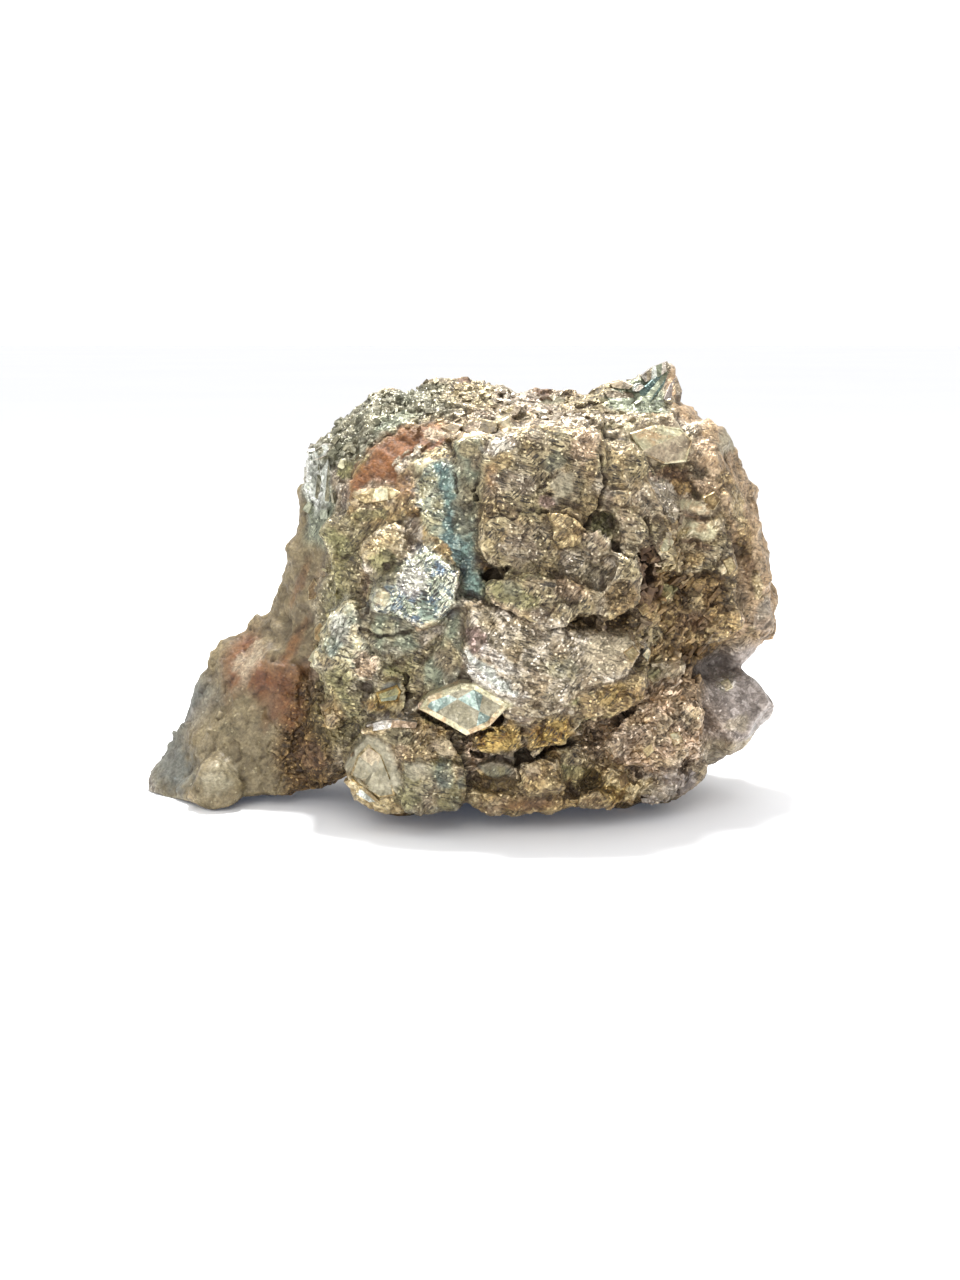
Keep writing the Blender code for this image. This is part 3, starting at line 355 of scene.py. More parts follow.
# Thin films of other tarnish that drift over the plates, each with its seed
FILMS = ((Tone.OLD_GOLD, 37.0), (Tone.GREY_PURPLE, 43.0), (Tone.BRASS_BROWN, 47.0))
FILM_STRENGTH = 0.5
# Tones that the films leave clear, as they leave all faceted ones
BARE_TONES = (Tone.STEEL_BLUE, Tone.PEACOCK, Tone.BRIGHT_SILVER, Tone.RUST, Tone.YELLOW_BRASS)
# The width of a film's patches, in millimetres
FILM_SIZE = 2.8
# Surfaces that are rougher than this, in millimetres, are shaded flat
SHARP_FROM = 0.5
# Where each kind of number stands in a row
ROW_PARTS = {
    "body": slice(0, 3),
    "mottle": slice(3, 6),
    "gleam": slice(6, 9),
    "metallic": slice(9, 10),
    "roughness": slice(10, 11),
    "glitter": slice(11, 12),
    "strokes": slice(12, 13),
    "relief": slice(13, 19),
    "grain": slice(19, 20),
    "seam": slice(20, 21),
}


def finish_row(tone: Tone) -> np.ndarray:
    """A tone's finish as one row of numbers, in the order of ROW_PARTS."""
    finish = tone.value
    colours = finish.body + finish.mottle + finish.gleam
    relief = astuple(finish.relief)
    return np.array(
        colours + (finish.metallic, finish.roughness, finish.glitter, finish.strokes) + relief + (0.0,)
    )




PLATES = (
    Plate("blue_wedge", Tone.STEEL_BLUE, -15.2, (-0.5, 0.1), 0.5, (
        (-2.5, 49.0), (-0.5, 48.0), (1.8, 43.0), (2.2, 38.0), (1.5, 34.5), (-1.5, 35.5), (-3.5, 38.0),
        (-5.0, 41.0), (-5.5, 45.0), (-5.0, 48.0),
    )),
    Plate("block_top", Tone.BRASS_BROWN, -17.4, (0.06, 0.16), 0.9, (
        (18.0, 52.5), (19.0, 50.0), (18.0, 46.0), (17.0, 43.0), (14.5, 43.5), (4.5, 42.0), (2.5, 43.0),
        (2.5, 52.0), (10.0, 53.0),
    )),
    Plate("block_side", Tone.GREY_GREEN, -16.0, (-0.55, 0.12), 0.4, (
        (2.5, 52.0), (3.0, 48.0), (2.0, 39.0), (0.0, 44.5), (-1.0, 51.5),
    )),
    Plate("block_base", Tone.BRASS_BROWN, -19.2, (0.04, 0.12), 1.0, (
        (2.5, 42.5), (11.0, 43.0), (13.0, 35.0), (5.5, 35.0), (3.5, 36.0), (2.0, 38.0),
    )),
    Plate("gold_knob", Tone.OLD_GOLD, -20.0, (0.0, 0.1), 1.3, (
        (11.0, 43.0), (13.5, 43.5), (15.5, 42.5), (16.5, 40.5), (15.0, 38.5), (12.5, 38.0), (11.5, 39.5),
    )),
    Plate("grey_knob", Tone.GREY_PURPLE, -20.2, (-0.3, 0.05), 1.0, (
        (17.5, 40.5), (19.0, 39.5), (19.0, 37.5), (17.0, 36.0), (15.5, 37.0), (16.0, 40.0),
    )),
    Plate("ear_ridge", Tone.BRASS_BROWN, -20.6, (0.22, 0.08), 1.5, (
        (13.0, 35.0), (15.0, 33.0), (18.0, 33.0), (20.0, 35.0), (20.5, 38.0), (22.5, 37.5), (23.5, 34.5),
        (22.5, 30.5), (18.5, 29.0), (15.0, 30.0),
    )),
    Plate("block_lip", Tone.BRASS_BROWN, -22.2, (0.05, 0.28), 1.0, (
        (3.0, 33.5), (5.0, 34.5), (9.0, 35.0), (12.5, 34.0), (15.0, 30.0), (13.0, 28.0), (10.0, 28.5),
        (4.5, 31.5),
    )),
    Plate("hole_facet", Tone.STEEL_BLUE, -17.8, (-0.3, 0.0), 0.5, (
        (0.0, 35.0), (2.5, 35.0), (3.5, 33.0), (2.5, 31.0), (0.5, 31.0),
    )),
    Plate("plate_left", Tone.GREY_GREEN, -18.4, (-0.42, 0.14), 0.6, (
        (0.0, 30.5), (0.5, 24.0), (-0.5, 20.5), (-3.5, 19.0), (-6.0, 20.5), (-5.0, 23.0), (-2.5, 26.0),
        (-2.0, 28.5),
    )),
    Plate("plate_main", Tone.SILVER, -21.4, (0.05, 0.2), 1.2, (
        (0.5, 31.6), (3.5, 31.4), (7.0, 29.8), (12.0, 28.4), (21.5, 27.0), (23.0, 24.5), (21.0, 21.5),
        (15.5, 20.0), (14.0, 18.0), (6.5, 19.0), (4.0, 21.0), (0.5, 24.5),
    )),
    Plate("bright_band", Tone.BRIGHT_SILVER, -22.6, (-0.1, 0.3), 0.5, (
        (0.5, 24.5), (2.0, 24.0), (8.5, 19.5), (6.5, 19.0), (4.0, 20.0), (1.0, 22.0),
    )),
    Plate("plate_tail", Tone.OLD_GOLD, -19.8, (0.26, 0.1), 1.6, (
        (24.0, 22.0), (24.0, 19.0), (19.5, 16.0), (16.0, 16.0), (15.0, 19.5),
    )),
    Plate("plate_rim", Tone.GREY_PURPLE, -22.4, (0.1, -0.25), 0.7, (
        (5.5, 17.0), (7.5, 18.5), (14.5, 18.0), (15.0, 16.5), (12.0, 17.0), (8.5, 15.5), (6.0, 16.5),
    )),
    Plate("diamond", Tone.CREAM, -22.8, (0.02, 0.16), 0.3, (
        (-5.5, 18.0), (-4.5, 19.0), (2.0, 21.0), (6.5, 18.5), (0.5, 15.0),
    )),
    Plate("bar_left", Tone.YELLOW_BRASS, -21.4, (0.05, 0.05), 0.9, (
        (8.0, 14.5), (7.5, 12.0), (5.0, 11.5), (2.0, 12.0), (1.5, 14.0), (2.5, 15.5), (7.0, 15.5),
    )),
    Plate("bar_right", Tone.YELLOW_BRASS, -20.8, (0.18, 0.05), 1.0, (
        (14.0, 16.5), (15.0, 14.0), (12.5, 12.5), (9.0, 12.0), (8.5, 15.0), (12.0, 16.5),
    )),
    Plate("cream_chip", Tone.CREAM, -20.0, (0.3, 0.1), 0.8, (
        (15.0, 15.5), (15.5, 15.5), (16.0, 14.0), (15.5, 13.5), (15.0, 14.5),
    )),
    Plate("dark_facet", Tone.DARK_GREY, -20.4, (0.0, 0.1), 0.4, (
        (2.0, 10.0), (7.0, 11.0), (7.0, 9.0), (5.0, 8.0), (2.5, 8.5),
    )),
    Plate("brown_dome", Tone.OLD_GOLD, -20.6, (0.1, 0.1), 1.3, (
        (7.0, 9.5), (9.5, 11.0), (12.5, 10.5), (13.5, 6.5), (9.0, 5.5), (7.0, 7.0),
    )),
    Plate("bottom_band", Tone.OLD_GOLD, -18.6, (0.08, -0.2), 1.2, (
        (21.0, 4.5), (20.0, 3.0), (15.5, 3.5), (7.0, 2.5), (2.5, 3.0), (1.0, 4.0), (1.0, 6.5),
        (13.5, 5.0), (18.5, 6.0),
    )),
    Plate("boulder_pale", Tone.PALE_GREY, -18.8, (-0.5, 0.12), 0.5, (
        (-12.0, 13.5), (-9.5, 13.5), (-8.5, 11.5), (-7.5, 6.0), (-9.5, 5.5), (-15.0, 8.0), (-15.5, 8.5),
        (-14.0, 11.5),
    )),
    Plate("boulder_top", Tone.OLD_GOLD, -19.6, (0.0, 0.45), 0.7, (
        (-13.0, 14.0), (-10.0, 15.5), (-6.0, 16.0), (-2.0, 15.0), (0.5, 11.0), (-8.0, 10.5),
        (-9.0, 12.5), (-11.0, 13.5),
    )),
    Plate("boulder_front", Tone.GREEN_BLUE, -21.4, (0.02, 0.0), 1.2, (
        (0.5, 10.5), (1.0, 7.5), (0.0, 4.0), (-5.5, 3.5), (-7.5, 4.0), (-7.5, 10.5), (-3.5, 11.0),
    )),
    Plate("boulder_under", Tone.PALE_BRASS, -19.2, (-0.3, -0.35), 0.6, (
        (-15.0, 8.0), (-8.0, 5.5), (-7.5, 3.0), (-10.5, 3.0), (-14.0, 4.5),
    )),
    Plate("gold_box", Tone.OLIVE, -17.4, (-0.25, -0.05), 0.5, (
        (-12.5, 16.0), (-11.5, 19.0), (-10.0, 20.5), (-7.5, 20.0), (-7.0, 17.0), (-10.0, 16.0),
    )),
    Plate("gold_thumb", Tone.OLD_GOLD, -14.6, (-0.1, 0.0), 1.0, (
        (-17.0, 17.5), (-16.0, 16.5), (-16.0, 14.5), (-17.0, 13.0), (-18.0, 13.5), (-18.0, 16.5),
    )),
    Plate("hollow_a", Tone.GREY_GREEN, -16.4, (-0.1, 0.25), 0.6, (
        (-12.5, 28.0), (-12.0, 29.5), (-9.5, 29.8), (-6.5, 28.0), (-5.5, 25.0), (-8.0, 23.5),
        (-11.5, 24.5),
    )),
    Plate("hollow_b", Tone.OLIVE, -16.0, (0.0, 0.2), 0.6, (
        (-5.5, 24.0), (-6.5, 21.0), (-10.0, 20.5), (-12.0, 22.0), (-12.0, 24.0), (-8.0, 23.0),
    )),
    Plate("peacock", Tone.PEACOCK, -18.4, (-0.22, 0.22), 1.6, (
        (0.0, 35.0), (0.0, 33.5), (-0.5, 31.0), (-2.5, 28.5), (-5.0, 27.5), (-6.5, 28.5), (-12.0, 30.0),
        (-12.0, 31.5), (-11.0, 34.0), (-7.0, 36.5), (-4.5, 38.5),
    )),
    Plate("egg", Tone.PALE_BRASS, -15.0, (-0.2, 0.2), 2.4, (
        (-13.2, 36.5), (-12.8, 38.2), (-11.0, 39.8), (-8.5, 40.5), (-6.8, 39.8), (-6.6, 38.0),
        (-8.5, 36.2), (-11.5, 35.2),
    )),
    Plate("left_lump", Tone.SILVER_BLUE, -15.2, (-0.38, 0.12), 1.6, (
        (-15.0, 31.0), (-13.5, 30.5), (-13.0, 26.5), (-10.0, 22.5), (-11.0, 20.5), (-14.5, 20.0),
        (-20.0, 21.5), (-17.0, 29.0),
    )),
    Plate("left_low", Tone.OLIVE, -15.0, (-0.2, 0.1), 0.8, (
        (-18.5, 20.0), (-12.5, 19.0), (-13.0, 16.0), (-14.5, 14.5), (-16.0, 17.0), (-18.0, 18.0),
    )),
    Plate("scaly_top", Tone.PALE_BRASS, -11.4, (-0.25, 0.45), 0.5, (
        (-15.0, 43.0), (-13.0, 45.0), (-10.0, 45.0), (-7.5, 45.5), (-10.5, 43.5),
    )),
    Plate("scaly_face", Tone.OLD_GOLD, -12.0, (-0.25, -0.1), 0.7, (
        (-7.0, 45.0), (-6.5, 42.5), (-8.5, 41.0), (-12.0, 40.0), (-14.5, 40.5), (-15.0, 42.5),
        (-10.5, 43.0),
    )),
    Plate("scaly_low", Tone.OLIVE, -10.6, (-0.4, 0.1), 0.8, (
        (-19.0, 39.0), (-18.0, 40.5), (-15.0, 41.5), (-12.5, 39.5), (-14.5, 36.5), (-17.0, 35.5),
    )),
    Plate("rust_band", Tone.RUST, -8.0, (-0.05, 0.55), 0.9, (
        (-15.0, 43.5), (-14.5, 47.0), (-11.5, 50.5), (-7.5, 52.5), (-3.0, 53.5), (-1.0, 52.0),
        (-1.5, 50.5), (-6.0, 48.5), (-6.5, 46.0), (-8.0, 45.0), (-10.0, 46.0),
    )),
    Plate("rust_rail", Tone.GREY_PURPLE, -6.0, (0.0, 0.6), 0.8, (
        (-2.0, 53.5), (5.5, 55.5), (11.0, 55.5), (12.0, 54.5), (5.0, 52.0), (1.0, 52.5),
    )),
    Plate("top_mound", Tone.CREAM, -11.0, (0.0, 0.4), 0.8, (
        (-6.5, 48.5), (-4.5, 49.0), (-2.5, 48.5), (-3.0, 47.0), (-6.0, 47.0),
    )),
    Plate("cream_facet_a", Tone.CREAM, -12.4, (-0.1, 0.5), 0.5, (
        (-0.5, 52.0), (2.0, 53.0), (4.0, 52.5), (4.0, 51.5), (2.0, 50.5), (0.0, 50.5),
    )),
    Plate("cream_facet_b", Tone.CREAM, -10.0, (0.0, 0.4), 0.4, (
        (4.0, 53.5), (6.5, 54.5), (7.0, 53.0), (5.5, 52.0),
    )),
    Plate("top_facets", Tone.SILVER, -10.4, (0.0, 0.5), 0.8, (
        (7.5, 53.0), (13.0, 54.0), (18.5, 54.5), (19.0, 53.0), (13.0, 52.5),
    )),
    Plate("post_top", Tone.BRASS_BROWN, -14.6, (0.22, 0.3), 0.8, (
        (18.5, 51.0), (22.5, 51.0), (24.0, 49.5), (24.5, 47.0), (22.0, 45.5), (19.0, 46.0), (18.0, 48.5),
    )),
    Plate("post_mid", Tone.GREY_PURPLE, -15.8, (0.22, 0.08), 1.0, (
        (18.0, 45.5), (22.0, 45.0), (24.5, 46.0), (27.0, 41.5), (25.0, 41.5), (22.0, 43.5), (17.5, 42.5),
    )),
    Plate("post_gold", Tone.BRASS_BROWN, -16.6, (0.15, 0.05), 1.4, (
        (19.5, 43.0), (22.0, 43.0), (24.0, 41.0), (24.0, 38.0), (21.5, 36.5), (20.0, 38.5),
    )),
    Plate("post_foot", Tone.BRASS_BROWN, -15.0, (0.35, 0.0), 0.9, (
        (24.5, 41.0), (27.0, 41.0), (28.5, 35.0), (26.0, 35.0), (24.5, 37.5),
    )),
    Plate("tan_facet", Tone.TAN, -7.4, (0.2, 0.5), 0.4, (
        (18.5, 52.0), (24.5, 54.0), (28.5, 54.5), (31.0, 49.5), (25.0, 48.0), (24.5, 50.5),
    )),
    # The cove's dark tone paints its shade
    Plate("dark_cove", Tone.DARK_GREEN, -5.6, (0.15, -0.25), 0.4, (
        (25.5, 47.5), (31.0, 48.0), (33.0, 46.0), (33.5, 44.5), (27.5, 41.5),
    )),
    Plate("rib_a", Tone.TAN, -8.0, (0.2, -0.1), 0.8, (
        (27.5, 42.0), (33.5, 43.5), (34.5, 41.5), (28.0, 39.5),
    )),
    Plate("rib_b", Tone.PALE_BRASS, -8.4, (0.25, 0.0), 0.8, (
        (35.0, 41.5), (35.5, 39.5), (33.0, 37.5), (29.0, 36.5), (28.0, 39.0),
    )),
    Plate("rib_c", Tone.BRASS_BROWN, -8.6, (0.3, 0.0), 0.9, (
        (35.5, 39.0), (36.5, 36.0), (33.5, 34.0), (30.0, 33.5), (29.0, 36.0), (33.0, 37.0),
    )),
    Plate("shingle_a", Tone.BROWN, -9.4, (0.3, -0.2), 0.7, (
        (36.5, 35.5), (37.5, 33.0), (34.5, 31.0), (31.5, 30.0), (30.5, 32.5), (34.0, 33.5),
    )),
    Plate("shingle_b", Tone.BROWN, -9.6, (0.3, -0.2), 0.7, (
        (37.0, 32.5), (37.0, 29.5), (34.0, 28.0), (30.5, 27.5), (30.0, 29.5), (33.5, 30.5),
    )),
    Plate("shingle_c", Tone.OLD_GOLD, -9.4, (0.3, -0.2), 0.8, (
        (37.0, 29.0), (38.0, 26.5), (36.0, 24.5), (33.0, 24.0), (32.0, 26.5),
    )),
    Plate("crystal_a", Tone.OLD_GOLD, -12.0, (0.1, 0.2), 0.9, (
        (26.0, 32.0), (27.5, 32.5), (28.0, 31.5), (28.0, 30.5), (26.5, 30.5),
    )),
    Plate("crystal_b", Tone.TAN, -12.4, (0.1, 0.1), 0.9, (
        (30.0, 22.0), (30.0, 21.0), (28.5, 20.0), (27.0, 20.0), (27.0, 21.0), (28.0, 22.0),
    )),
    Plate("crystal_c", Tone.OLIVE, -13.0, (0.1, 0.1), 0.8, (
        (24.5, 21.5), (26.0, 22.0), (26.5, 21.0), (25.5, 19.5), (24.5, 20.0),
    )),
    Plate("brown_block", Tone.BROWN, -15.6, (0.2, 0.1), 1.2, (
        (22.0, 31.0), (24.0, 32.0), (26.0, 30.5), (26.0, 28.0), (24.0, 27.0), (22.0, 28.0),
    )),
    Plate("tan_block", Tone.OLD_GOLD, -17.6, (0.25, 0.1), 1.2, (
        (17.0, 27.5), (19.5, 28.0), (22.5, 27.5), (23.5, 24.5), (21.0, 26.0), (18.0, 26.0),
    )),
    Plate("low_glitter", Tone.PINK_BRASS, -15.6, (0.15, 0.15), 1.6, (
        (18.5, 12.0), (21.5, 16.0), (25.5, 18.0), (30.5, 18.5), (32.0, 15.5), (31.5, 12.0), (29.0, 8.5),
        (23.5, 8.5), (20.5, 9.5),
    )),
    Plate("gold_glint", Tone.YELLOW_BRASS, -16.6, (0.05, 0.0), 0.9, (
        (18.5, 8.0), (21.0, 8.5), (23.5, 5.5), (23.0, 4.0), (20.0, 4.0), (18.5, 6.0),
    )),
    Plate("low_brown", Tone.SLATE, -14.6, (0.15, -0.1), 1.0, (
        (28.5, 8.0), (30.0, 6.0), (27.5, 3.0), (24.5, 3.0), (24.0, 5.0), (24.0, 7.5),
    )),
    Plate("low_slate", Tone.SLATE, -10.6, (0.35, -0.15), 0.5, (
        (33.5, 7.5), (33.0, 5.5), (29.5, 2.5), (30.5, 5.5), (30.0, 7.5),
    )),
    Plate("ear_bowl", Tone.SILVER, -19.2, (0.0, 0.1), 0.6, (
        (13.0, 38.0), (15.5, 37.5), (20.5, 37.5), (20.0, 35.0), (18.0, 32.5), (15.0, 32.5), (13.0, 34.5),
    )),
    Plate("seam_crystal_a", Tone.GREY_PURPLE, -17.4, (0.1, 0.1), 0.7, (
        (16.5, 47.0), (18.0, 47.5), (18.5, 45.0), (17.0, 44.5),
    )),
    Plate("seam_crystal_b", Tone.OLD_GOLD, -17.2, (0.1, 0.1), 0.8, (
        (16.0, 44.0), (18.0, 44.5), (18.5, 43.0), (17.0, 42.0), (15.5, 42.5),
    )),
)  # fmt: skip

ZONES = (
    Zone(Tone.GREY_STONE, (-38.0, 2.0, 12.0), (9.0, 9.0, 13.0)),
    Zone(Tone.GREY_STONE, (-33.0, 4.0, 20.0), (6.0, 8.0, 8.0)),
    Zone(Tone.TAN_STONE, (-31.0, 2.0, 21.0), (7.0, 9.0, 7.0), 1.3),
    Zone(Tone.ORANGE_STONE, (-26.5, -1.0, 16.0), (6.0, 9.0, 9.0), 1.4),
    Zone(Tone.TAN_STONE, (-24.0, 0.0, 29.0), (5.0, 8.0, 9.0), 1.3),
    Zone(Tone.GREEN_STONE, (-32.0, -4.0, 6.0), (10.0, 9.0, 8.0), 1.2),
    Zone(Tone.GREEN_STONE, (-27.0, 4.0, 8.0), (10.0, 10.0, 8.0), 1.0),
    Zone(Tone.BROWN, (-20.0, -6.0, 8.0), (6.0, 9.0, 10.0)),
    Zone(Tone.TAN_STONE, (-22.5, 0.0, 37.0), (4.5, 9.0, 8.0), 1.3),
    Zone(Tone.GREY_GREEN, (-19.5, -3.0, 41.5), (3.5, 5.0, 4.5), 1.2),
    # The white zone paints the bright rim's highlight
    Zone(Tone.WHITE, (-19.5, -1.0, 46.0), (3.2, 5.0, 4.6), 1.3),
    Zone(Tone.CROWN, (-14.0, 0.0, 52.0), (7.0, 8.0, 5.0), 1.6),
    Zone(Tone.CROWN, (-6.0, 1.0, 56.0), (7.0, 8.0, 4.0), 1.4),
    Zone(Tone.BRASS_BROWN, (3.0, 1.0, 57.0), (6.0, 6.0, 3.0), 1.2),
    Zone(Tone.GREY_PURPLE, (10.0, 1.0, 56.0), (5.0, 6.0, 3.0), 1.2),
    Zone(Tone.GREY_PURPLE, (14.0, -5.0, 54.5), (7.0, 4.0, 3.0), 1.3),
    Zone(Tone.BRASS_BROWN, (18.0, 1.0, 57.0), (6.0, 6.0, 4.0), 1.0),
    Zone(Tone.BRIGHT_SILVER, (27.5, 1.5, 60.0), (3.0, 4.0, 2.6), 2.0),
    Zone(Tone.GREY_GREEN, (24.0, 0.0, 57.0), (4.0, 3.0, 2.5), 1.4),
    Zone(Tone.MAUVE, (31.0, 3.0, 56.0), (4.0, 7.0, 5.0), 1.2),
    Zone(Tone.MAUVE, (36.0, 1.0, 46.0), (6.0, 10.0, 13.0), 1.3),
    Zone(Tone.MAUVE, (42.0, 2.0, 30.0), (6.0, 9.0, 10.0), 1.3),
    Zone(Tone.BROWN, (31.0, -6.0, 30.0), (6.0, 8.0, 14.0), 1.2),
    Zone(Tone.SLATE, (38.0, -4.0, 14.5), (7.5, 9.0, 7.0), 1.6),
    Zone(Tone.TAN, (36.0, -5.0, 8.0), (6.0, 6.0, 3.0), 1.0),
    Zone(Tone.PINK_BRASS, (26.0, -13.0, 13.0), (9.0, 8.0, 8.0), 1.0),
    Zone(Tone.OLD_GOLD, (8.0, -14.0, 5.0), (16.0, 9.0, 4.0), 0.8),
    Zone(Tone.OLIVE, (-16.0, -10.0, 24.0), (5.0, 6.0, 14.0), 0.8),
    Zone(Tone.RUST, (-6.0, 14.0, 34.0), (12.0, 8.0, 9.0), 0.7),
    Zone(Tone.GREEN_STONE, (-20.0, 9.0, 24.0), (8.0, 9.0, 14.0), 0.8),
    Zone(Tone.GREY_PURPLE, (26.0, 14.0, 44.0), (10.0, 10.0, 8.0), 0.8),
    Zone(Tone.CREAM, (14.0, 18.0, 24.0), (5.0, 6.0, 4.0), 0.8),
)

